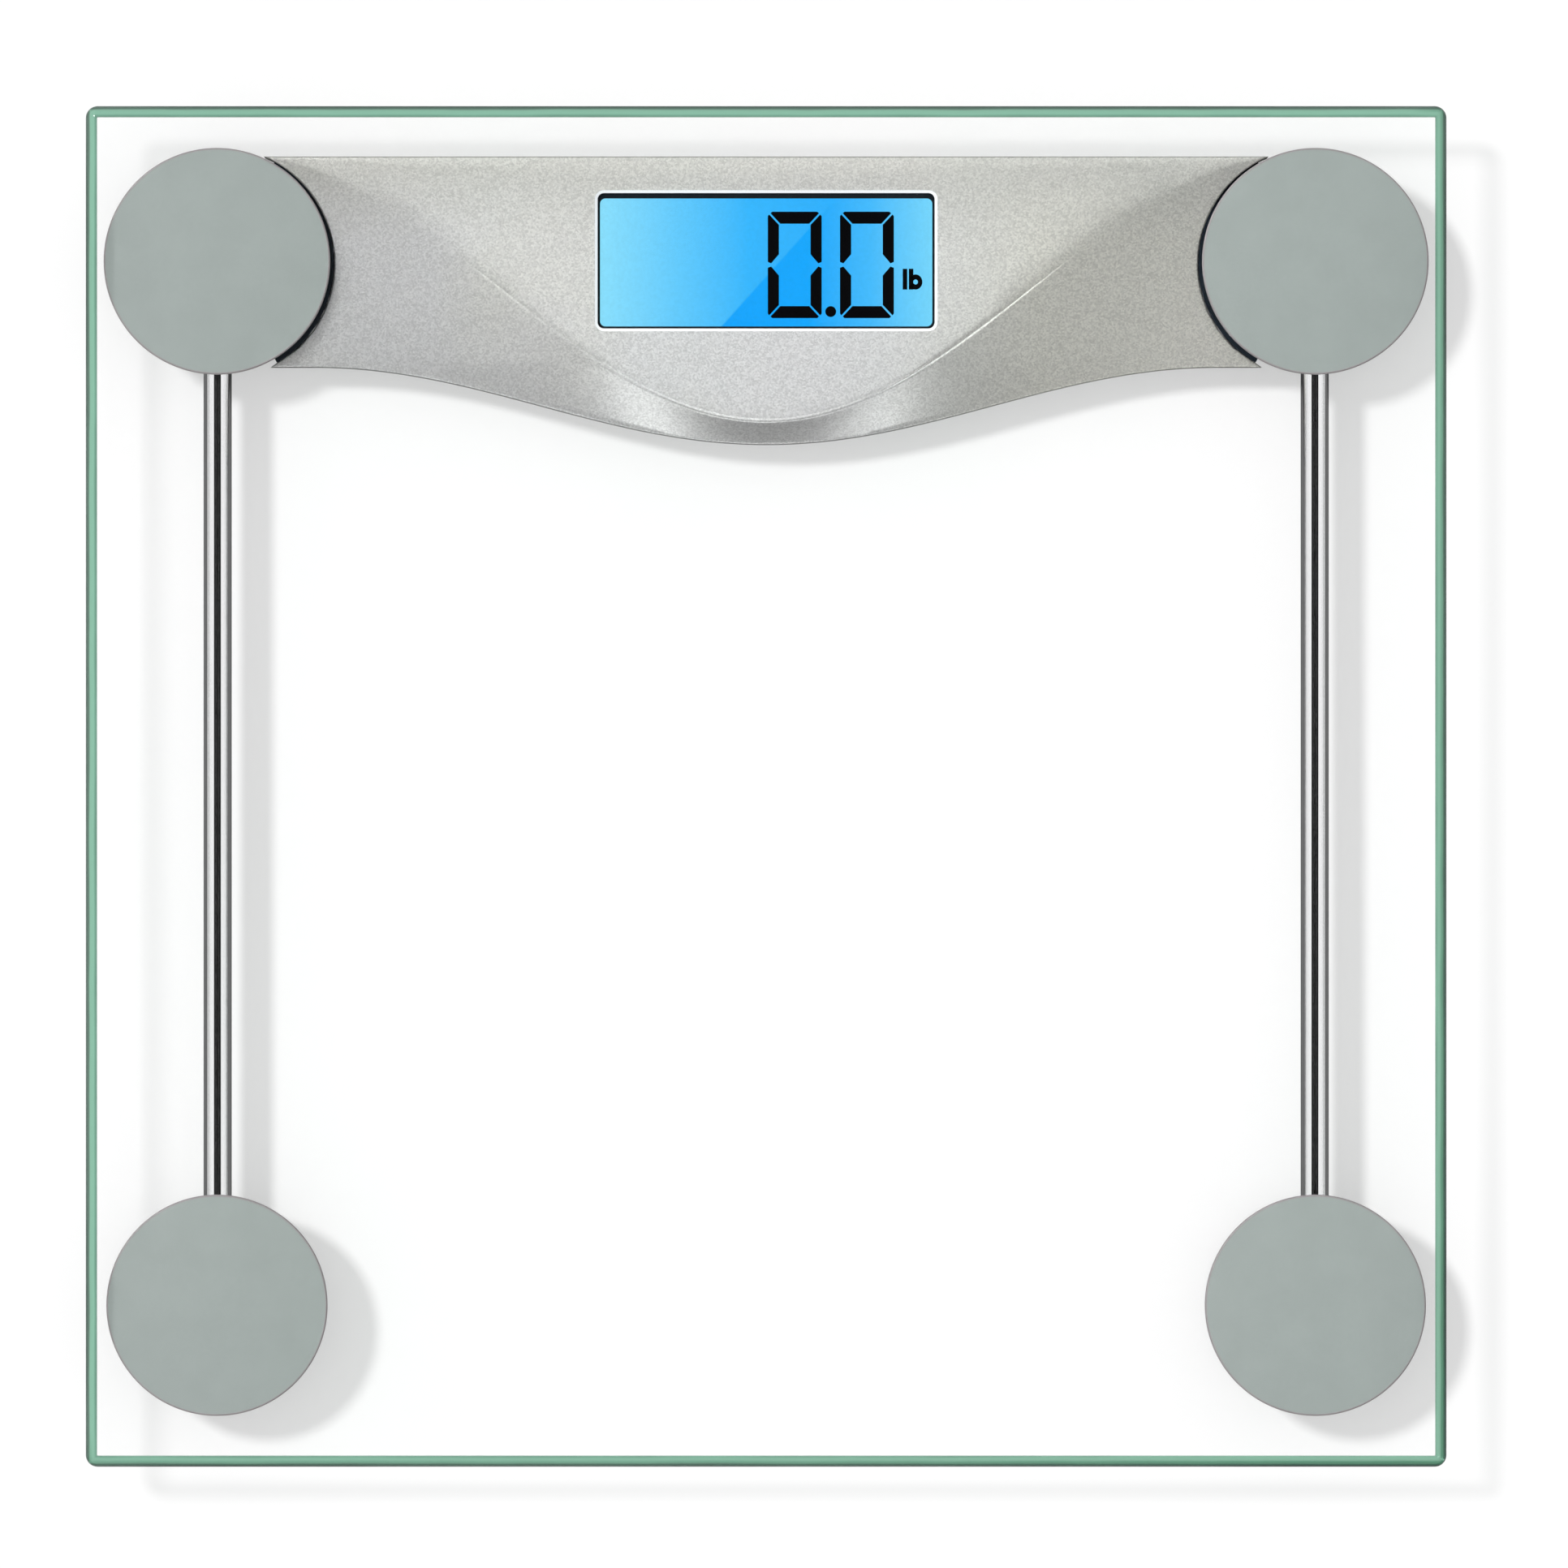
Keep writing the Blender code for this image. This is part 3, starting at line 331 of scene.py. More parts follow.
def mix_color(tree, share, first, second, blend="MIX"):
    made = node(tree, "ShaderNodeMix", data_type="RGBA", blend_type=blend)
    for number, value in ((0, share), (6, first), (7, second)):
        feed(tree, made.inputs[number], value)
    return made.outputs[2]


def mix_value(tree, share, first, second):
    made = node(tree, "ShaderNodeMix", data_type="FLOAT")
    for number, value in ((0, share), (2, first), (3, second)):
        feed(tree, made.inputs[number], value)
    return made.outputs[0]


def ramp(tree, value, stops):
    """The colour that a value picks from the stops, each a position and a colour."""
    made = node(tree, "ShaderNodeValToRGB")
    elements = made.color_ramp.elements
    for _ in range(len(stops) - 2):
        elements.new(0.5)
    for element, (position, color) in zip(elements, stops):
        element.position = position
        element.color = (*color, 1.0)
    link(tree, value, made.inputs["Fac"])
    return made.outputs["Color"]


def bump(tree, shader, height, depth):
    made = node(tree, "ShaderNodeBump")
    set_inputs(made, {"Strength": 1.0, "Distance": depth})
    link(tree, height, made.inputs["Height"])
    link(tree, made.outputs["Normal"], shader.inputs["Normal"])


def grained(name, color, roughness, grain=0.35 * MM, depth=0.02 * MM, mottle=0.05,
            spread=0.06, metallic=0.0, specular=0.5, patch=9 * MM, stretch=None):
    """A moulded, painted or rolled surface: fine grain in height, shade and gloss, soft patches."""
    material, tree, shader = new_finish(name, color, roughness, metallic, specular)
    place = object_place(tree)
    fine = noise(tree, place, grain, stretch=stretch)
    patches = noise(tree, place, patch, detail=2.0)
    dark = tuple(c * (1 - mottle) for c in color)
    light = tuple(min(1.0, c * (1 + mottle)) for c in color)
    soft = mix_color(tree, remap(tree, patches, 0.0, 1.0), dark, light)
    speck = mix_color(tree, remap(tree, fine, 0.0, 1.0), dark, light)
    link(tree, mix_color(tree, 0.5, soft, speck), shader.inputs["Base Color"])
    gloss = remap(tree, fine, roughness - spread, roughness + spread)
    link(tree, gloss, shader.inputs["Roughness"])
    bump(tree, shader, fine, depth)
    return material


def make_clear_glass():
    """Clear toughened glass with a faint uneven tint; lamps reach what is under it."""
    material, tree, shader = new_finish("clear_glass", (0.99, 1.0, 0.995), 0.0)
    set_inputs(shader, {"Transmission Weight": 1.0, "IOR": 1.5})
    place = object_place(tree)
    patches = noise(tree, place, 60 * MM, detail=2.0, stretch=(1.0, 0.25, 1.0))
    tint = mix_color(tree, remap(tree, patches, 0.0, 1.0), (0.985, 1.0, 0.992), (1.0,) * 3)
    link(tree, tint, shader.inputs["Base Color"])
    let_lamps_through(tree, shader, (1.0,) * 3)
    return material


def let_lamps_through(tree, shader, color):
    """Lets light from lamps and from the floor pass a see-through shader straight."""
    path = node(tree, "ShaderNodeLightPath")
    clear = node(tree, "ShaderNodeBsdfTransparent")
    clear.inputs["Color"].default_value = (*color, 1.0)
    surface = shader.outputs["BSDF"]
    for kind in ("Is Diffuse Ray", "Is Shadow Ray"):
        mix = node(tree, "ShaderNodeMixShader")
        link(tree, path.outputs[kind], mix.inputs["Fac"])
        link(tree, surface, mix.inputs[1])
        link(tree, clear.outputs["BSDF"], mix.inputs[2])
        surface = mix.outputs["Shader"]
    link(tree, surface, tree.nodes["Material Output"].inputs["Surface"])


def make_glass_edge(half_side, round_width):
    """The polished green edge: a dark outer line, a pale green middle and a thin inner line.

    The green is the glass's own; the dark outer line and the paler middle are painted shade of
    the rounded edge. The right and front sides are darker, most of all towards the corner
    between them: painted shade on the sides away from the lamp.
    """
    material, tree, shader = new_finish("glass_edge", (0.35, 0.6, 0.47), 0.12)
    set_inputs(shader, {"Transmission Weight": 0.35, "IOR": 1.5, "Coat Weight": 0.6,
                        "Coat Roughness": 0.05})
    place = object_place(tree)
    x, y, _ = coordinates(tree, place)
    across = math_node(tree, "MAXIMUM", math_node(tree, "ABSOLUTE", x),
                       math_node(tree, "ABSOLUTE", y))
    inset = remap(tree, across, 1.0, 0.0, half_side - round_width, half_side)
    waver = remap(tree, noise(tree, place, 25 * MM, detail=2.0), -0.04, 0.04)
    band = math_node(tree, "ADD", inset, waver)
    # Painted shade of the rounded edge: dark at the outer line, paler in the middle; towards_lamp
    # for the lit sides, away for the shaded ones
    towards_lamp = ramp(tree, band, (
        (0.0, (0.06, 0.10, 0.08)), (0.30, (0.09, 0.15, 0.12)), (0.44, (0.19, 0.38, 0.28)),
        (0.76, (0.20, 0.40, 0.30)), (1.0, (0.12, 0.24, 0.18))))
    away = ramp(tree, band, (
        (0.0, (0.015, 0.030, 0.026)), (0.20, (0.025, 0.07, 0.05)), (0.36, (0.04, 0.16, 0.09)),
        (0.50, (0.06, 0.20, 0.12)), (0.62, (0.16, 0.32, 0.23)), (0.9, (0.21, 0.40, 0.30)),
        (1.0, (0.15, 0.28, 0.21))))
    # Painted shade: the right and front sides, most of all near the corner between them, take the
    # darker ramp
    front = math_node(tree, "MULTIPLY", y, -1.0)
    shaded = math_node(tree, "DIVIDE", math_node(tree, "MAXIMUM", x, front), across)
    side = remap(tree, shaded, 0.0, 1.0, 0.955, 1.0)
    corner = math_node(tree, "DIVIDE", math_node(tree, "MINIMUM", x, front), across)
    dark = math_node(tree, "MULTIPLY", side, remap(tree, corner, 0.45, 1.0, -0.2, 0.9))
    color = mix_color(tree, dark, towards_lamp, away)
    link(tree, color, shader.inputs["Base Color"])
    let_lamps_through(tree, shader, (0.70, 0.71, 0.705))
    return material


def make_silver_paint():
    """Metallic paint: flakes of uneven shade and gloss, warmer in patches and to the right, and
    darker towards the rear edge as painted shade.
    """
    material, tree, shader = new_finish("silver_paint", (0.72, 0.72, 0.71), 0.42,
                                        metallic=0.85, specular=0.3)
    place = object_place(tree)
    flakes = node(tree, "ShaderNodeTexVoronoi")
    flakes.inputs["Scale"].default_value = 1 / (0.33 * MM)
    link(tree, place, flakes.inputs["Vector"])
    flake_shade = node(tree, "ShaderNodeSeparateColor")
    link(tree, flakes.outputs["Color"], flake_shade.inputs["Color"])
    x, y, _ = coordinates(tree, place)
    patches = remap(tree, noise(tree, place, 45 * MM, detail=1.0), 0.0, 0.45, 0.5, 0.7)
    warm_side = remap(tree, x, 0.0, 0.9, 25 * MM, 60 * MM)
    warm = math_node(tree, "MAXIMUM", patches, warm_side)
    body = mix_color(tree, warm, (0.72, 0.72, 0.72), (0.72, 0.716, 0.655))
    # Painted shade: the paint darkens towards the rear edge
    rear = remap(tree, y, 0.0, 1.0, 120 * MM, 136 * MM)
    body = mix_color(tree, rear, body, (0.62, 0.62, 0.585))
    shade = remap(tree, flake_shade.outputs["Red"], 0.82, 1.14, 0.0, 1.0)
    color = mix_color(tree, 1.0, body, grey(tree, shade), blend="MULTIPLY")
    link(tree, color, shader.inputs["Base Color"])
    gloss = remap(tree, flake_shade.outputs["Green"], 0.30, 0.40, 0.0, 1.0)
    link(tree, gloss, shader.inputs["Roughness"])
    peel = noise(tree, place, 0.5 * MM, detail=2.0)
    bump(tree, shader, math_node(tree, "ADD", peel, flake_shade.outputs["Blue"]), 0.012 * MM)
    return material


def make_chrome():
    """Polished chrome plate with faint drawing marks along the tube."""
    material, tree, shader = new_finish("rail_chrome", (0.95, 0.95, 0.96), 0.015, metallic=1.0)
    place = object_place(tree)
    marks = noise(tree, place, 0.4 * MM, detail=2.0, stretch=(1.0, 0.02, 1.0))
    link(tree, remap(tree, marks, 0.010, 0.022), shader.inputs["Roughness"])
    tint = mix_color(tree, remap(tree, marks, 0.0, 1.0), (0.93, 0.93, 0.94), (0.97, 0.97, 0.98))
    link(tree, tint, shader.inputs["Base Color"])
    return material


def make_lcd_light(low, high):
    """The back-lit blue of the display, pale at its ends, with a painted reflection: a slanting
    glare line, brighter on its left side.
    """
    material, tree, shader = new_finish("lcd_light", (0.005, 0.01, 0.015), 0.25, specular=0.06)
    place = object_place(tree)
    x, y, _ = coordinates(tree, place)
    along = remap(tree, x, 0.0, 1.0, low.x, high.x)
    left_part = ramp(tree, along, (
        (0.0, (0.27, 0.77, 1.0)), (0.25, (0.12, 0.60, 1.0)), (0.45, (0.032, 0.475, 1.0)),
        (0.75, (0.02, 0.43, 1.0))))
    right_part = ramp(tree, along, (
        (0.35, (0.0, 0.37, 1.0)), (0.62, (0.0, 0.39, 1.0)), (0.80, (0.055, 0.50, 0.99)),
        (1.0, (0.20, 0.71, 0.99))))
    # Painted reflection: left of the slanting line the glow is brighter
    slant = (GLARE_HIGH[0] - GLARE_LOW[0]) / (GLARE_HIGH[1] - GLARE_LOW[1])
    line_x = math_node(tree, "ADD", math_node(tree, "MULTIPLY", y, slant),
                       GLARE_LOW[0] - GLARE_LOW[1] * slant)
    beyond = math_node(tree, "SUBTRACT", x, line_x)
    side = remap(tree, beyond, 0.0, 1.0, -GLARE_BLUR, GLARE_BLUR)
    light = mix_color(tree, side, left_part, right_part)
    grain = remap(tree, noise(tree, place, 0.6 * MM), 0.97, 1.03)
    shader.inputs["Emission Strength"].default_value = 1.03
    shown = mix_color(tree, 1.0, light, grey(tree, grain), blend="MULTIPLY")
    link(tree, shown, shader.inputs["Emission Color"])
    return material


def make_board_mask():
    """Green solder mask with faint copper tracks under it."""
    material, tree, shader = new_finish("board_mask", (0.02, 0.20, 0.08), 0.4)
    place = object_place(tree)
    tracks = node(tree, "ShaderNodeTexBrick")
    set_inputs(tracks, {"Scale": 400, "Mortar Size": 0.03})
    link(tree, place, tracks.inputs["Vector"])
    color = mix_color(tree, tracks.outputs["Fac"], (0.02, 0.20, 0.08), (0.05, 0.32, 0.14))
    link(tree, color, shader.inputs["Base Color"])
    bump(tree, shader, tracks.outputs["Fac"], 0.03 * MM)
    return material


def make_cell_wrap(low):
    """A battery's plain printed sleeve: dark, with one copper-coloured band near its end."""
    material, tree, shader = new_finish("cell_wrap", (0.05, 0.055, 0.065), 0.28)
    place = object_place(tree)
    band_end = low.x + 11 * MM
    band = remap(tree, coordinates(tree, place)[0], 0.0, 1.0, band_end, band_end + 0.4 * MM)
    scuff = remap(tree, noise(tree, place, 3 * MM), 0.0, 1.0)
    dark = mix_color(tree, scuff, (0.045, 0.05, 0.06), (0.06, 0.065, 0.075))
    copper = mix_color(tree, scuff, (0.52, 0.27, 0.12), (0.60, 0.33, 0.16))
    link(tree, mix_color(tree, band, copper, dark), shader.inputs["Base Color"])
    link(tree, remap(tree, scuff, 0.22, 0.36, 0.0, 1.0), shader.inputs["Roughness"])
    return material


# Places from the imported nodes
glass_low, glass_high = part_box("glass_platform")
shell_low, shell_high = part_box("display_top_shell")
POD_TOP, POD_BASE = shell_high.z, shell_low.z

clear_glass = make_clear_glass()
glass_edge = make_glass_edge(glass_high.x, GLASS_ROUND)
silver_paint = make_silver_paint()
chrome = make_chrome()
cap_face = grained("cap_face", (0.245, 0.277, 0.266), 0.5, grain=0.5 * MM, depth=0.004 * MM,
                   mottle=0.035, specular=0.3)
# Darker and mauve: partly the rim's own plastic, partly painted shade of the rounded edge
cap_rim = grained("cap_rim", (0.23, 0.215, 0.22), 0.45, mottle=0.05)
housing_plastic = grained("housing_plastic", (0.40, 0.42, 0.415), 0.5, grain=0.3 * MM)
puck_plastic = grained("puck_plastic", (0.72, 0.72, 0.70), 0.5)
tread_rubber = grained("tread_rubber", (0.035, 0.035, 0.037), 0.8, grain=0.25 * MM,
                       depth=0.05 * MM, mottle=0.25)
tray_plastic = grained("tray_plastic", (0.36, 0.365, 0.36), 0.55, grain=0.3 * MM,
                       depth=0.03 * MM)
button_plastic = grained("button_plastic", (0.22, 0.23, 0.24), 0.45)
black_plastic = grained("black_plastic", (0.025, 0.025, 0.027), 0.5, mottle=0.15)
# Black foam for the display's gasket; also the dark fill put as painted shade in the gaps at the
# housing's ends and on the window's inner wall
foam_and_painted_shade = grained("foam_and_painted_shade", (0.006, 0.010, 0.014), 0.8, grain=0.2 * MM, mottle=0.2,
                      specular=0.1)
# Near-white: a painted highlight along the display window's chamfer
window_painted_highlight = grained("window_painted_highlight", (0.93, 0.93, 0.93), 0.4, depth=0.004 * MM,
                         mottle=0.02)
load_steel = grained("load_steel", (0.56, 0.57, 0.58), 0.3, metallic=1.0, grain=0.2 * MM,
                     stretch=(1.0, 0.05, 1.0), mottle=0.08)
zinc_plate = grained("zinc_plate", (0.62, 0.62, 0.60), 0.32, metallic=1.0, grain=0.2 * MM)
nickel_plate = grained("nickel_plate", (0.75, 0.73, 0.68), 0.22, metallic=1.0,
                       grain=0.25 * MM, depth=0.004 * MM)
white_wire = grained("white_wire", (0.78, 0.78, 0.75), 0.45, grain=0.5 * MM)
red_wire = grained("red_wire", (0.55, 0.03, 0.03), 0.45, grain=0.5 * MM)
diffuser = grained("diffuser", (0.88, 0.90, 0.93), 0.35, depth=0.006 * MM, mottle=0.02)
zebra_rubber = grained("zebra_rubber", (0.32, 0.22, 0.22), 0.65, grain=0.3 * MM, mottle=0.3,
                       stretch=(1.0, 0.05, 0.05))
board_mask = make_board_mask()
segment_ink = grained("segment_ink", (0.001, 0.001, 0.0015), 0.6, depth=0.001 * MM,
                      mottle=0.3, specular=0.0)


# The platform
def make_platform():
    """The glass slab, with its top and bottom edges polished round."""
    side = glass_high.x - glass_low.x
    corner = 2.6 * MM
    steps = 8
    rings = []
    for level, direction in ((glass_low.z, 1), (glass_high.z, -1)):
        for step in range(steps + 1)[::direction]:
            angle = math.radians(90 * step / steps)
            inset = GLASS_ROUND * (1 - math.sin(angle))
            height = level + direction * GLASS_ROUND * (1 - math.cos(angle))
            size = (side - 2 * inset, side - 2 * inset)
            rings.append(rounded_rectangle(size, corner - inset, height))
    finishes = (clear_glass, glass_edge)
    made = loft("platform_slab", rings, finishes, [1] * len(rings))
    made.data.shade_smooth()
    flat_ends_stay_flat(made)
    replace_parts(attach(made, "platform"), "glass_platform")


# The feet
def make_foot(name):
    """One foot: the plate under the glass, the cup, the moving disc and its rubber."""
    low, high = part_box(f"foot_cap_{name}")
    centre = middle_of(low, high)
    radius = (high.x - low.x) / 2
    make_cap(name, centre, radius, low.z, high.z)
    make_housing(name, centre, radius)
    make_puck(name, centre)
    make_tread(name, centre)


def make_cap(name, centre, radius, bottom, top):
    """The round plate under the glass: a grained face and a thin turned rim, its darker colour
    partly painted shade.
    """
    rim, step, sunk, bevel = 0.42 * MM, 0.15 * MM, 0.02 * MM, 0.1 * MM
    profile = [(0.0, top), (radius - rim - step, top), (radius - rim, top - sunk)]
    profile += arc((radius - rim, top - rim), rim * 0.98, 85, 0, 5)
    profile += [(radius, bottom + bevel), (radius - bevel, bottom), (0.0, bottom)]
    finish_of = [0, 0] + [1] * (len(profile) - 3)
    made = lathe(f"cap_{name}", profile, centre, (cap_face, cap_rim), 160, finish_of)
    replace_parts(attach(made, "platform"), f"foot_cap_{name}")


def make_housing(name, centre, cap_radius):
    """The moulded cup: a slight draft, a round lower lip, a parting line and a tube socket."""
    low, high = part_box(f"foot_housing_{name}")
    outer = (high.x - low.x) / 2
    wall = 2.4 * MM
    roof = high.z - 1.6 * MM
    inner = cap_radius - 0.5 * MM - wall
    rib_outer, rib_inner, rib_bottom = 15.5 * MM, 12.5 * MM, 13.3 * MM
    part_line = 9.3 * MM
    lip = 1.4 * MM
    draft = 0.6 * MM  # how far the side leans in from the top to the lip
    lean = draft / (high.z - low.z - lip)
    foot_radius = outer - draft
    shoulder = 0.4 * MM
    profile = [(0.0, high.z), (outer - shoulder, high.z)]
    profile += arc((outer - shoulder, high.z - shoulder), shoulder, 70, 0, 4)
    groove, bevel = 0.15 * MM, 0.2 * MM
    at_line = outer - lean * (high.z - part_line)
    profile += [(at_line, part_line + groove), (at_line - groove, part_line),
                (at_line, part_line - groove)]
    profile += arc((foot_radius - lip, low.z + lip), lip, 0, -90, 8)
    profile += [(inner + bevel, low.z), (inner, low.z + bevel), (inner, roof),
                (rib_outer, roof), (rib_outer, rib_bottom), (rib_inner, rib_bottom),
                (rib_inner, roof), (0.0, roof)]
    made = lathe(f"housing_{name}", profile, centre, (housing_plastic,), 112)
    tube_low, tube_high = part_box("rail_tube_left")
    towards = -1 if centre[1] > 0 else 1
    hole, reach = (tube_high.x - tube_low.x) / 2 + 0.3 * MM, 4 * MM
    socket = lathe("socket", [(0.0, reach), (hole, reach), (hole, -reach), (0.0, -reach)],
                   (0.0, 0.0), (housing_plastic,), 48)
    socket.rotation_euler = (math.radians(90), 0.0, 0.0)
    socket.location = (centre[0], centre[1] + towards * (inner + 1.0 * MM),
                       (tube_low.z + tube_high.z) / 2)
    cut(made, socket)
    smooth(made)
    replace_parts(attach(made, "platform"), f"foot_housing_{name}")


def make_puck(name, centre):
    """The moving disc: a softened edge below, a flange that holds it in, and a boss."""
    low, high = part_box(f"foot_puck_{name}")
    disc, flange, boss = 16.8 * MM, (high.x - low.x) / 2, 3.5 * MM
    flange_low, flange_high = 7.2 * MM, 8.6 * MM
    soft, boss_bevel, bevel = 0.5 * MM, 0.3 * MM, 0.2 * MM
    profile = [(0.0, high.z), (boss - boss_bevel, high.z), (boss, high.z - boss_bevel),
               (boss, flange_high), (flange - bevel, flange_high),
               (flange, flange_high - bevel), (flange, flange_low), (disc, flange_low)]
    profile += arc((disc - soft, low.z + soft), soft, 0, -90, 5)
    profile.append((0.0, low.z))
    made = lathe(f"puck_{name}", profile, centre, (puck_plastic,), 96)
    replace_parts(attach(made, f"{name}_foot"), f"foot_puck_{name}")


def make_tread(name, centre):
    """The rubber pad, with round grooves in the face that meets the floor."""
    low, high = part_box(f"rubber_pad_{name}")
    radius = (high.x - low.x) / 2
    soft, bevel = 0.5 * MM, 0.2 * MM
    profile = [(0.0, high.z), (radius - bevel, high.z), (radius, high.z - bevel)]
    profile += arc((radius - soft, low.z + soft), soft, 0, -90, 5)
    groove_depth, groove_width, land, lean = 0.6 * MM, 0.9 * MM, 2.2 * MM, 0.15 * MM
    middle = 3 * MM  # no groove lies nearer the middle than this
    reach = radius - soft - 0.9 * MM
    while reach - groove_width > middle:
        inner = reach - groove_width
        profile += [(reach, low.z), (reach - lean, low.z + groove_depth),
                    (inner + lean, low.z + groove_depth), (inner, low.z)]
        reach -= groove_width + land
    profile.append((0.0, low.z))
    made = lathe(f"tread_{name}", profile, centre, (tread_rubber,), 96)
    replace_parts(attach(made, f"{name}_foot"), f"rubber_pad_{name}")


# The rail tubes
def make_tube(side):
    """A plated tube: its ends are deburred inside and out."""
    low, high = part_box(f"rail_tube_{side}")
    radius = (high.x - low.x) / 2
    bore = radius - 0.5 * MM
    half = (high.y - low.y) / 2
    soft = 0.12 * MM
    profile = [(radius - soft, half), (radius, half - soft), (radius, -half + soft),
               (radius - soft, -half), (bore + soft, -half), (bore, -half + soft),
               (bore, half - soft), (bore + soft, half)]
    made = lathe(f"tube_{side}", profile, (0.0, 0.0), (chrome,), 96)
    place = (*middle_of(low, high), (low.z + high.z) / 2)
    lie_down = Matrix.Rotation(math.radians(90), 4, "X")
    made.data.transform(Matrix.Translation(place) @ lie_down)
    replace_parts(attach(made, "platform"), f"rail_tube_{side}")


# The display housing's shape
FOOT_X, FOOT_Y = middle_of(*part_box("foot_cap_rear_right"))
HOLLOW_X = FOOT_X - POD_HOLLOW_SHIFT * math.cos(POD_HOLLOW_TURN)
HOLLOW_Y = FOOT_Y - POD_HOLLOW_SHIFT * math.sin(POD_HOLLOW_TURN)


def wave(share):
    """A smooth rise from 0 where share is 0 to 1 where it is 1 or -1."""
    return (1 - math.cos(math.pi * min(abs(share), 1.0))) / 2


def front_edge_y(x, inset):
    """The front edge: a wave, lowest in the middle."""
    return POD_FRONT_LOW_Y + inset + POD_FRONT_RISE * wave(x / POD_FRONT_HALF)


def half_length(y, inset):
    """Half the housing's length at y: each end is hollow, round a rear foot's cap."""
    straight = POD_FRONT_LOW_Y + POD_FRONT_RISE + inset
    reach = max(y, straight) - HOLLOW_Y
    radius = POD_HOLLOW_RADIUS + inset
    return HOLLOW_X - math.sqrt(radius**2 - reach**2)


def ridge_y(x, inset):
    """The ridge between the flat top and the flank: a deeper wave than the front edge."""
    low = POD_RIDGE_LOW_Y + inset / 2
    high = POD_REAR_Y - inset
    share = abs(x) / half_length(high, inset)
    rise = (1 - math.cos(POD_RIDGE_PHASE * share)) / (1 - math.cos(POD_RIDGE_PHASE))
    return low + (high - low) * rise


def soft_step(value, start, end):
    """0 up to start, 1 from end on, and smooth between them."""
    t = min(max((value - start) / (end - start), 0.0), 1.0)
    return t * t * (3 - 2 * t)


def pod_column(station, stations, inset, top, rows, shaped):
    """Points from the front edge over the ridge to the rear edge, at one station.

    A shaped column has its ridge rounded, and a fine groove along it near the middle.
    """
    rear = POD_REAR_Y - inset
    x = half_length(rear, inset) * station / stations
    ridge = ridge_y(x, inset)
    share = x / half_length(ridge, inset)
    front = front_edge_y(share * half_length(0.0, inset), inset)
    flank, flat = ridge - front, rear - ridge
    slope = POD_DROP / flank
    crisp, soft = 0.15 * MM, 4.0 * MM  # the ridge's rounding amid and towards the ends
    blur = min(crisp + soft * soft_step(abs(x), 35 * MM, 80 * MM), flat / 2 + 1e-6)
    groove_depth, groove_width = 0.26 * MM, 0.28 * MM
    groove = groove_depth * (1 - soft_step(abs(x), 40 * MM, 75 * MM))
    points = []
    for row in range(rows, 0, -1):
        below = flank * (row / rows) ** 2
        points.append((ridge - below, below))
    for row in range(rows + 1):
        above = flat * (row / rows) ** 2
        points.append((ridge + above, -above))
    column = []
    for y, below in points:
        if shaped:
            drop = slope * (math.sqrt(below**2 + blur**2) + below) / 2
            drop += groove * math.exp(-((below / groove_width) ** 2))
        else:
            drop = slope * max(below, 0.0)
        column.append(Vector((share * half_length(y, inset), y, top - drop)))
    return column


def pod_grid(inset, top, stations, rows, shaped=True):
    """The housing's top as columns from left to right."""
    span = range(-stations, stations + 1)
    return [pod_column(s, stations, inset, top, rows, shaped) for s in span]


def rim_of(grid):
    """The grid's outline, once round."""
    rim = [column[0] for column in grid]
    rim += grid[-1][1:]
    rim += [column[-1] for column in reversed(grid[1:-1])]
    rim += list(reversed(grid[0][1:]))
    return rim


def pod_solid(name, inset, top, base, stations, rows, fillet, finishes, shaped=True):
    """A closed solid under the housing's shaped top, its upper edge rounded by a fillet."""
    form = bmesh.new()
    grid = pod_grid(inset + fillet, top, stations, rows, shaped)
    made = [[form.verts.new(point) for point in column] for column in grid]
    for left, right in zip(made, made[1:]):
        for row in range(len(left) - 1):
            form.faces.new((left[row], right[row], right[row + 1], left[row + 1]))
    loops = [rim_of(made)]
    steps = 6 if fillet else 0
    for step in range(1, steps + 1):
        angle = math.radians(90 * step / steps)
        at = inset + fillet * (1 - math.sin(angle))
        fall = fillet * (1 - math.cos(angle))
        rim = rim_of(pod_grid(at, top, stations, rows, shaped))
        loops.append([form.verts.new(point - Vector((0, 0, fall))) for point in rim])
    outer = [vertex.co for vertex in loops[-1]]
    loops.append([form.verts.new((point.x, point.y, base)) for point in outer])
    for upper, lower in zip(loops, loops[1:]):
        for i in range(len(upper)):
            k = (i + 1) % len(upper)
            form.faces.new((upper[k], upper[i], lower[i], lower[k]))
    form.faces.new(loops[-1])
    bmesh.ops.remove_doubles(form, verts=form.verts, dist=0.000001)
    bmesh.ops.dissolve_degenerate(form, edges=form.edges, dist=0.0000005)
    bmesh.ops.recalc_face_normals(form, faces=form.faces)
    return add_form(name, form, finishes)


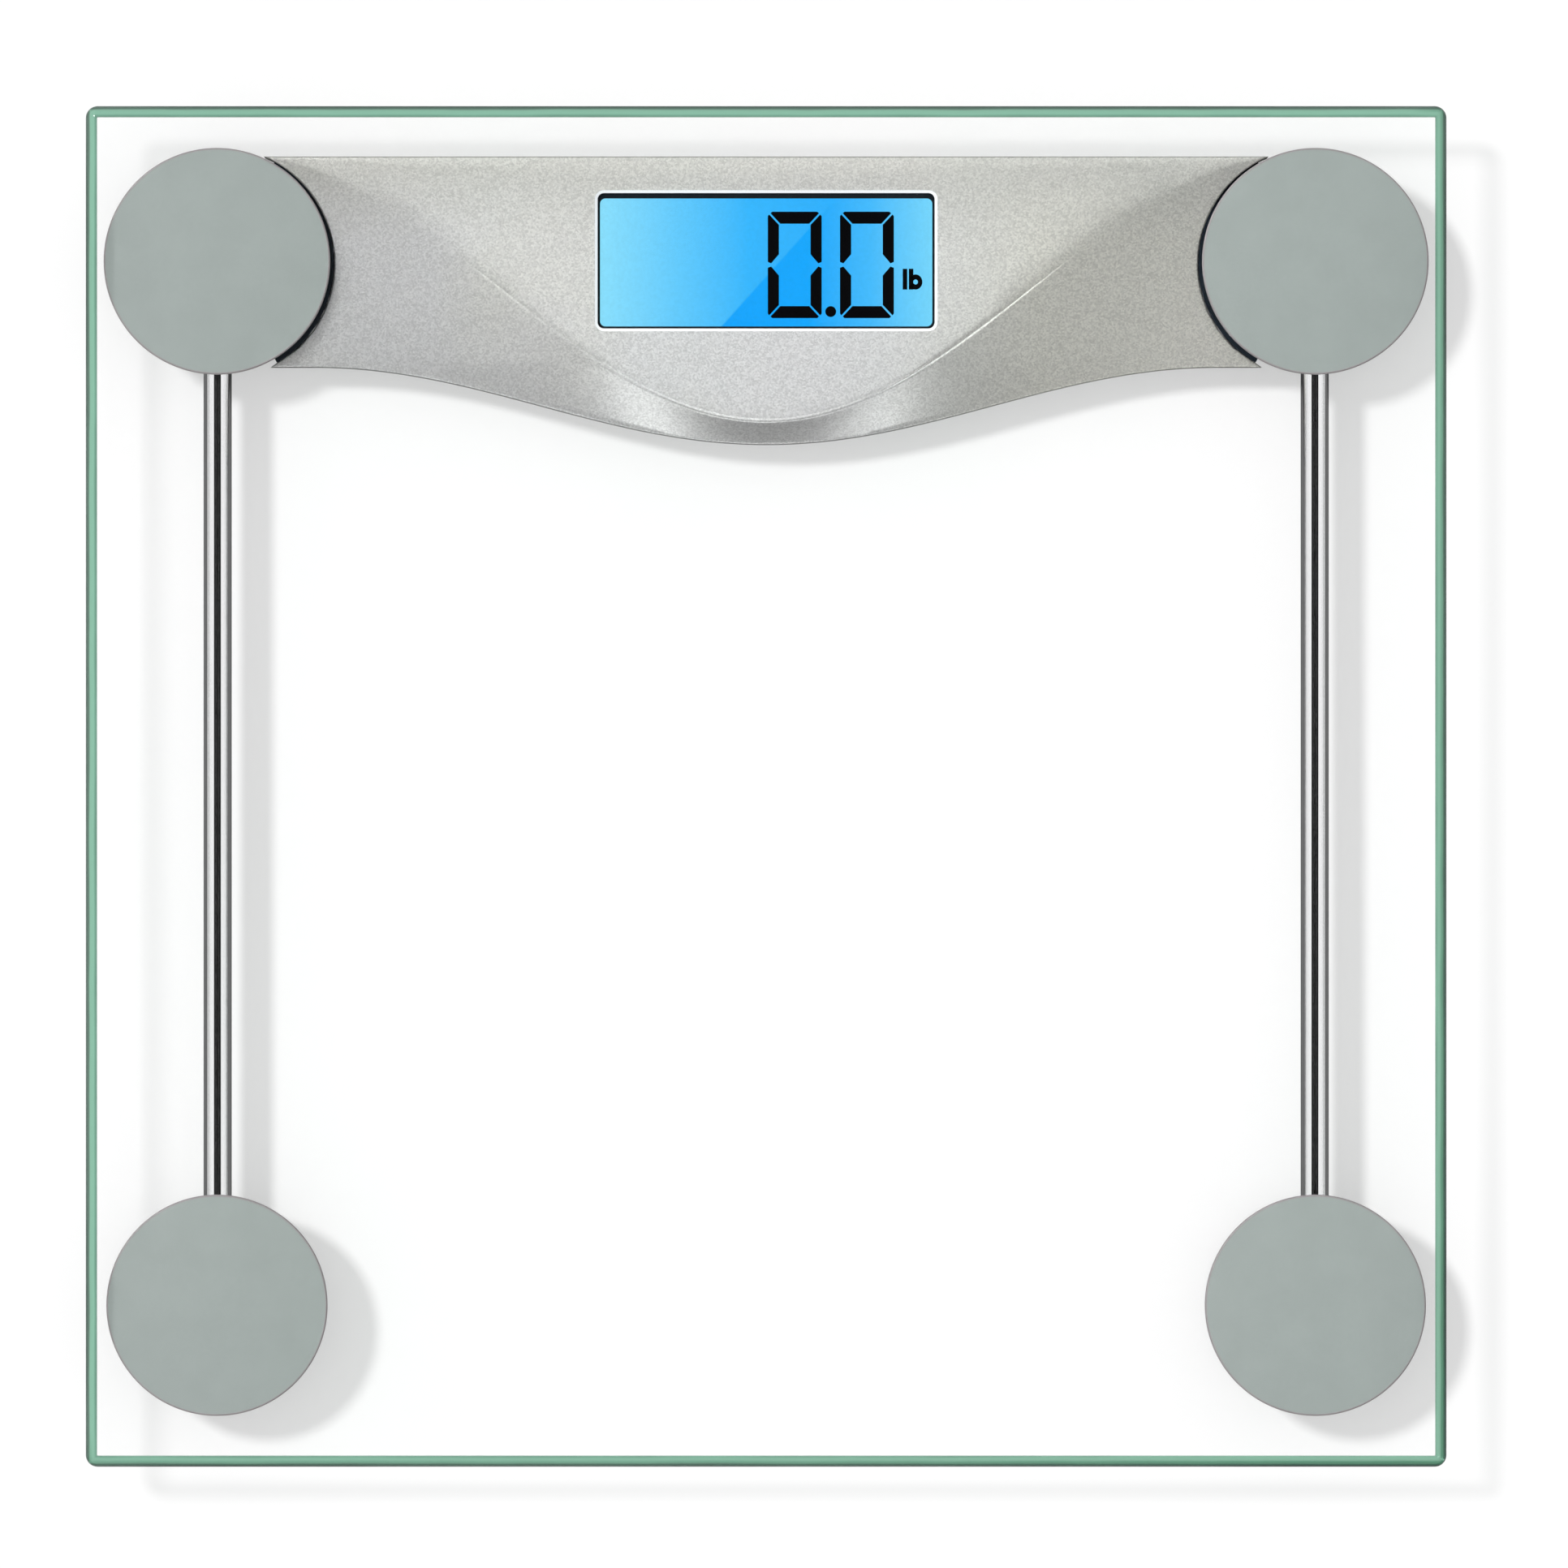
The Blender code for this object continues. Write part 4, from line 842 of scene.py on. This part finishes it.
def make_pod():
    """The painted upper shell: a soft ridge, rounded edges and a chamfered window."""
    paints = (silver_paint, window_painted_highlight, foam_and_painted_shade)
    edge_round = 0.45 * MM
    shell = pod_solid("display_skin", 0.0, POD_TOP, POD_BASE, 90, 22, edge_round, paints)
    roof = POD_TOP - SHELL_ROOF
    below = POD_BASE - 2 * MM
    hollow = pod_solid("hollow", SHELL_WALL, roof, below, 30, 8, 0.0, paints[:1], False)
    cut(shell, hollow)
    wide = [side + 2 * WINDOW_CHAMFER for side in WINDOW_SIZE]
    centre = (0.0, WINDOW_CENTRE_Y)
    outer_corner = WINDOW_CORNER + WINDOW_CHAMFER
    rings = [
        rounded_rectangle(WINDOW_SIZE, WINDOW_CORNER, roof - 2 * MM, centre),
        rounded_rectangle(WINDOW_SIZE, WINDOW_CORNER, POD_TOP - WINDOW_CHAMFER, centre),
        rounded_rectangle(wide, outer_corner, POD_TOP, centre),
        rounded_rectangle(wide, outer_corner, POD_TOP + 0.4 * MM, centre),
    ]
    # The window's chamfer takes the painted highlight; its inner wall takes the black foam as
    # painted shade of the recess
    cut(shell, loft("window", rings, paints, (2, 1, 1)))
    smooth(shell, 30)
    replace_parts(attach(shell, "platform"), "display_top_shell")


def make_shade_strip(name, side):
    """A black strip in the gap between a rear foot and the housing's hollow end: a dark piece put
    there as painted shade of the deep gap.
    """
    low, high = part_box("foot_housing_rear_right")
    foot_x, foot_y = middle_of(low, high)
    clear = 0.06 * MM
    inner = (high.x - low.x) / 2 + clear
    bottom, top = 13.0 * MM, 16.4 * MM
    margin = 0.9 * MM  # each end stays this far from the housing's corners
    reach = POD_HOLLOW_RADIUS + POD_HOLLOW_SHIFT
    front = POD_FRONT_LOW_Y + POD_FRONT_RISE + margin
    first = math.degrees(math.asin((front - foot_y) / reach))
    last = math.degrees(math.asin((POD_REAR_Y - margin - foot_y) / POD_HOLLOW_RADIUS))
    steps = 48
    points, faces = [], []
    for i in range(steps + 1):
        angle = math.radians(first + (last - first) * i / steps)
        turned = math.cos(angle) * math.cos(POD_HOLLOW_TURN)
        turned -= math.sin(angle) * math.sin(POD_HOLLOW_TURN)
        outer = POD_HOLLOW_RADIUS - clear + POD_HOLLOW_SHIFT * turned
        for radius, height in ((inner, bottom), (inner, top), (outer, top), (outer, bottom)):
            x = side * (foot_x - radius * math.cos(angle))
            points.append((x, foot_y + radius * math.sin(angle), height))
    for i in range(steps):
        for k in range(4):
            low_k, high_k = 4 * i + k, 4 * i + (k + 1) % 4
            faces.append((low_k, high_k, high_k + 4, low_k + 4))
    faces += [(3, 2, 1, 0), tuple(4 * steps + k for k in range(4))]
    # A black strip put in the gap as painted shade
    made = add_mesh(f"shade_strip_{name}", points, faces, (foam_and_painted_shade,))
    form = bmesh.new()
    form.from_mesh(made.data)
    bmesh.ops.recalc_face_normals(form, faces=form.faces)
    form.to_mesh(made.data)
    form.free()
    smooth(made)
    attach(made, "platform")


# The display
def make_display():
    """The lit panel, the frame round it, and a reading of two zeros, a point and a unit."""
    low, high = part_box("lcd_panel")
    size = (high.x - low.x, high.y - low.y)
    centre = middle_of(low, high)
    lcd_light = make_lcd_light(low, high)
    corner, bevel = 0.5 * MM, 0.15 * MM
    rings = [rounded_rectangle(size, corner, low.z, centre),
             rounded_rectangle(size, corner, high.z - bevel, centre),
             rounded_rectangle([s - 2 * bevel for s in size], 0.4 * MM, high.z, centre)]
    face = loft("lcd_face", rings, (lcd_light,))
    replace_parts(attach(face, "platform"), "lcd_panel")
    make_gasket()
    width, height, bottom = 11.9 * MM, 23.5 * MM, 103.4 * MM
    for name, left in (("digit_ones", 0.36 * MM), ("digit_tenths", 16.3 * MM)):
        make_digit(name, left, bottom, width, height, high.z)
    point_place, point_radius = (14.25 * MM, 104.85 * MM), 1.2 * MM
    make_point("decimal_point", point_place, point_radius, high.z)
    unit_left, unit_bottom = 30.15 * MM, 109.7 * MM
    make_unit("unit_lb", unit_left, unit_bottom, high.z)


def make_gasket():
    """The thin black frame that shows round the panel, deeper on its rear side."""
    low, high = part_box("lcd_gasket")
    rear, front, side = 1.15 * MM, 0.5 * MM, 0.52 * MM
    size = (high.x - low.x, high.y - low.y)
    opening = (WINDOW_SIZE[0] - 2 * side, WINDOW_SIZE[1] - rear - front)
    middle = (0.0, WINDOW_CENTRE_Y - (rear - front) / 2)
    centre = middle_of(low, high)
    frame_rings = [rounded_rectangle(size, 0.8 * MM, z, centre) for z in (low.z, high.z)]
    made = loft("gasket_frame", frame_rings, (foam_and_painted_shade,))
    hole = [rounded_rectangle(opening, 1.2 * MM, z, middle)
            for z in (low.z - 1 * MM, high.z + 1 * MM)]
    cut(made, loft("gasket_hole", hole, (foam_and_painted_shade,)))
    smooth(made)
    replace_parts(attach(made, "platform"), "lcd_gasket")


def inked(name, outlines, height):
    """Flat raised shapes from their outlines, in one mesh."""
    form = bmesh.new()
    for outline in outlines:
        low = [form.verts.new((x, y, height + INK_GAP)) for x, y in outline]
        high = [form.verts.new((x, y, height + INK_GAP + INK_THICK)) for x, y in outline]
        form.faces.new(high)
        form.faces.new(list(reversed(low)))
        for i in range(len(outline)):
            k = (i + 1) % len(outline)
            form.faces.new((low[i], low[k], high[k], high[i]))
    bmesh.ops.recalc_face_normals(form, faces=form.faces)
    made = add_form(name, form, (segment_ink,))
    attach(made, "platform")


def make_digit(name, left, bottom, width, height, level):
    """A zero of six mitred segments."""
    corner, tip, start, thick, end = 0.6 * MM, 0.35 * MM, 1.0 * MM, 2.65 * MM, 2.75 * MM
    bar = [(corner, tip), (start, 0.0), (width - start, 0.0), (width - corner, tip),
           (width - end, thick), (end, thick)]
    side_thick = 2.46 * MM
    side = [(0.0, start), (0.31 * MM, 0.62 * MM), (side_thick, 2.92 * MM),
            (side_thick, 9.4 * MM), (0.75 * MM, 11.4 * MM), (0.0, 11.1 * MM)]
    outlines = []
    for low, rise in ((bottom, 1), (bottom + height, -1)):
        for outline in (bar, side, [(width - x, y) for x, y in side]):
            outlines.append([(left + x, low + rise * y) for x, y in outline])
    inked(name, outlines, level)


def make_point(name, centre, radius, level):
    """The round decimal point."""
    inked(name, [arc(centre, radius, 0, 360, 40)[:-1]], level)


def make_unit(name, left, bottom, level):
    """The letters l and b from bars and an open ring."""
    stroke, tall = 1.0 * MM, 4.6 * MM
    bowl, squash = 1.5 * MM, 1.12
    stem = left + 1.35 * MM
    centre = (stem + bowl, bottom + bowl * squash)
    top = bottom + tall
    outlines = [[(x, bottom), (x + stroke, bottom), (x + stroke, top), (x, top)]
                for x in (left, stem)]
    steps, first, sweep = 20, -150, 300
    for i in range(steps):
        start = math.radians(first + sweep * i / steps)
        end = math.radians(first + sweep * (i + 1) / steps)
        ring = []
        for angle, radius in ((start, bowl), (end, bowl), (end, bowl - stroke),
                              (start, bowl - stroke)):
            ring.append((centre[0] + radius * math.cos(angle),
                         centre[1] + radius * math.sin(angle) * squash))
        outlines.append(ring)
    inked(name, outlines, level)


# Under the housing
def make_button():
    """The unit button: a dished face with a raised rim."""
    low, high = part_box("unit_button")
    centre = middle_of(low, high)
    radius, flange, stem = 4.0 * MM, (high.x - low.x) / 2, 2.0 * MM
    flange_low, flange_high = 4.8 * MM, 5.5 * MM
    bevel, soft, dish = 0.3 * MM, 0.4 * MM, 0.38 * MM
    profile = [(0.0, high.z), (stem - bevel, high.z), (stem, high.z - bevel),
               (stem, flange_high), (flange, flange_high), (flange, flange_low),
               (radius, flange_low)]
    profile += arc((radius - soft, low.z + soft), soft, 0, -90, 5)
    profile += [(radius - 0.9 * MM, low.z), (radius - 1.3 * MM, low.z + 0.2 * MM),
                (1.2 * MM, low.z + 0.35 * MM), (0.0, low.z + dish)]
    made = lathe("button_cap", profile, centre, (button_plastic,), 64)
    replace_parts(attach(made, "unit_button"), "unit_button")


def make_door_grip():
    """Four finger ribs on the battery door."""
    low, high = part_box("battery_door")
    width, pitch, rib, proud = 14 * MM, 1.6 * MM, 0.7 * MM, 0.3 * MM
    bevel, sunk = 0.15 * MM, 0.2 * MM
    start = low.y + 3.2 * MM
    for i in range(4):
        centre = ((low.x + high.x) / 2, start + i * pitch)
        face = (width - 2 * bevel, rib - 2 * bevel)
        rings = [rounded_rectangle(face, bevel, low.z - proud, centre, 4)]
        for height in (low.z - proud + bevel, low.z + sunk):
            rings.append(rounded_rectangle((width, rib), 2 * bevel, height, centre, 4))
        made = loft(f"door_rib_{i + 1}", rings, (tray_plastic,))
        smooth(made)
        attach(made, "battery_door")


def finish_inner_nodes():
    """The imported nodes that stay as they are, each with its finish."""
    finish_of = {
        "display_bottom_shell": tray_plastic,
        "battery_door": tray_plastic,
        "backlight_panel": diffuser,
        "zebra_strip": zebra_rubber,
        "main_board": board_mask,
        "unit_switch": black_plastic,
        "battery_lead_front": black_plastic,
        "battery_lead_rear": red_wire,
        "contact_bridge": nickel_plate,
    }
    wrap = make_cell_wrap(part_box("battery_cell_front")[0])
    for end in ("front", "rear"):
        finish_of[f"battery_cell_{end}"] = wrap
        finish_of[f"contact_{end}"] = nickel_plate
        finish_of[f"battery_spring_{end}"] = nickel_plate
    for foot in FEET:
        finish_of[f"load_cell_{foot}"] = load_steel
        finish_of[f"foot_ring_{foot}"] = housing_plastic
        finish_of[f"cell_wire_{foot}"] = white_wire
    for place in ("left_outer", "left_inner", "right_inner", "right_outer"):
        finish_of[f"shell_screw_{place}"] = zinc_plate
    for name, finish in finish_of.items():
        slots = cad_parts[name].data.materials
        slots.clear()
        slots.append(finish)


make_platform()
for foot in FEET:
    make_foot(foot)
for side in ("left", "right"):
    make_tube(side)
make_pod()
make_shade_strip("left", -1)
make_shade_strip("right", 1)
make_display()
make_button()
make_door_grip()
finish_inner_nodes()


# Floor, light and camera
def make_floor():
    """A large pale floor that glows a little. In gloss it is darker and doesn't glow."""
    corners = [(x * FLOOR_REACH, y * FLOOR_REACH, 0)
               for x, y in ((-1, -1), (1, -1), (1, 1), (-1, 1))]
    material = bpy.data.materials.new("floor_paper")
    material.use_nodes = True
    tree = material.node_tree
    tree.nodes.clear()
    output = node(tree, "ShaderNodeOutputMaterial")
    paper = node(tree, "ShaderNodeBsdfDiffuse")
    path = node(tree, "ShaderNodeLightPath")
    white, dim = (FLOOR_WHITE,) * 3, (0.13,) * 3
    mirrored = math_node(tree, "GREATER_THAN", path.outputs["Glossy Depth"], 0.5)
    link(tree, mix_color(tree, mirrored, white, dim), paper.inputs["Color"])
    glow = node(tree, "ShaderNodeEmission")
    seen = math_node(tree, "GREATER_THAN", 0.5, path.outputs["Diffuse Depth"])
    lit = math_node(tree, "MULTIPLY", seen, math_node(tree, "SUBTRACT", 1.0, mirrored))
    under = math_node(tree, "GREATER_THAN", path.outputs["Transmission Depth"], 0.5)
    level = mix_value(tree, under, FLOOR_GLOW, FLOOR_GLOW + GLASS_GAIN)
    link(tree, math_node(tree, "MULTIPLY", lit, level), glow.inputs["Strength"])
    both = node(tree, "ShaderNodeAddShader")
    link(tree, paper.outputs["BSDF"], both.inputs[0])
    link(tree, glow.outputs["Emission"], both.inputs[1])
    link(tree, both.outputs["Shader"], output.inputs["Surface"])
    made = add_mesh("floor", corners, [(0, 1, 2, 3)], (material,))


def make_sky():
    """A soft white studio, even for all that isn't glossy.

    The glass mirrors the walls and a dark zenith. The chrome and paint under the glass
    mirror a softbox, cards, two side panels and a dark strip overhead.
    """
    world = bpy.data.worlds.new("studio")
    bpy.context.scene.world = world
    world.use_nodes = True
    tree = world.node_tree
    tree.nodes.clear()
    output = node(tree, "ShaderNodeOutputWorld")
    background = node(tree, "ShaderNodeBackground")
    background.inputs["Color"].default_value = (1.0,) * 4
    link(tree, background.outputs["Background"], output.inputs["Surface"])
    path = node(tree, "ShaderNodeLightPath")
    way = node(tree, "ShaderNodeTexCoord").outputs["Generated"]
    x, y, up = coordinates(tree, way)
    across = math_node(tree, "ABSOLUTE", x)
    along = math_node(tree, "ABSOLUTE", y)

    lamps = lobe(tree, way, *SOFTBOX)
    for towards, spread, level in CARDS:
        lamps = math_node(tree, "ADD", lamps, lobe(tree, way, towards, spread, 0.0, level))
    in_band = remap(tree, along, 1.0, 0.0, 0.13, 0.19)
    side_panel = remap(tree, across, 0.0, 1.0, 0.44, 0.50)
    strip = remap(tree, along, 1.0, 0.0, 0.08, 0.10)
    overhead = remap(tree, across, 1.0, 0.0, 0.44, 0.50)
    dark = math_node(tree, "MULTIPLY", math_node(tree, "MULTIPLY", strip, overhead),
                     math_node(tree, "GREATER_THAN", up, 0.0))
    panels = math_node(tree, "MULTIPLY", in_band, side_panel)
    mirrored = mix_value(tree, panels, lamps, SIDE_PANEL_LEVEL)
    mirrored = mix_value(tree, dark, mirrored, 0.0)

    in_gloss = math_node(tree, "GREATER_THAN", path.outputs["Glossy Depth"], 0.5)
    through = math_node(tree, "GREATER_THAN", path.outputs["Transmission Depth"], 0.5)
    direct = math_node(tree, "LESS_THAN", path.outputs["Diffuse Depth"], 0.5)
    wall = remap(tree, up, HORIZON_LEVEL, WALL_LEVEL, 0.10, 0.25)
    zenith = lobe(tree, way, (0.0, 0.0, 1.0), 24, 0.0, 6.0)
    plain = mix_value(tree, math_node(tree, "MINIMUM", zenith, 1.0), wall, ZENITH_LEVEL)
    level = mix_value(tree, math_node(tree, "MULTIPLY", in_gloss, direct), SKY_LEVEL, plain)
    under_glass = math_node(tree, "MULTIPLY", in_gloss, through)
    level = mix_value(tree, under_glass, level, mirrored)
    level = mix_value(tree, path.outputs["Is Camera Ray"], level, 1.0)
    link(tree, level, background.inputs["Strength"])


def lobe(tree, way, towards, spread, low, high):
    """A soft round lamp in the sky: high at its middle, low beyond its spread in degrees."""
    facing = node(tree, "ShaderNodeVectorMath", operation="DOT_PRODUCT")
    facing.inputs[1].default_value = Vector(towards).normalized()
    link(tree, way, facing.inputs[0])
    return remap(tree, facing.outputs["Value"], low, high, math.cos(math.radians(spread)), 1.0)


def make_sun():
    lamp = bpy.data.lights.new("key", "SUN")
    lamp.energy = SUN_STRENGTH
    lamp.angle = SUN_SPREAD
    made = add_object("key", lamp)
    travel = Vector((SUN_SLOPE[0], SUN_SLOPE[1], -1.0))
    made.rotation_euler = travel.to_track_quat("-Z", "Y").to_euler()
    made.visible_glossy = False


def make_camera():
    """Straight down through a long lens, with the scale a little left of the middle."""
    lens = bpy.data.cameras.new("top")
    made = add_object("top", lens)
    height = 3.0
    shown = 345.8 * MM  # width of the picture at the glass
    middle = (3.94 * MM, 0.54 * MM)
    made.location = (*middle, glass_high.z - 3 * MM + height)
    lens.sensor_width = 36
    lens.lens = 36 * height / shown
    lens.clip_start, lens.clip_end = 0.05, 200
    bpy.context.scene.camera = made


make_floor()
make_sky()
make_sun()
make_camera()
bpy.context.scene.view_settings.view_transform = "Standard"
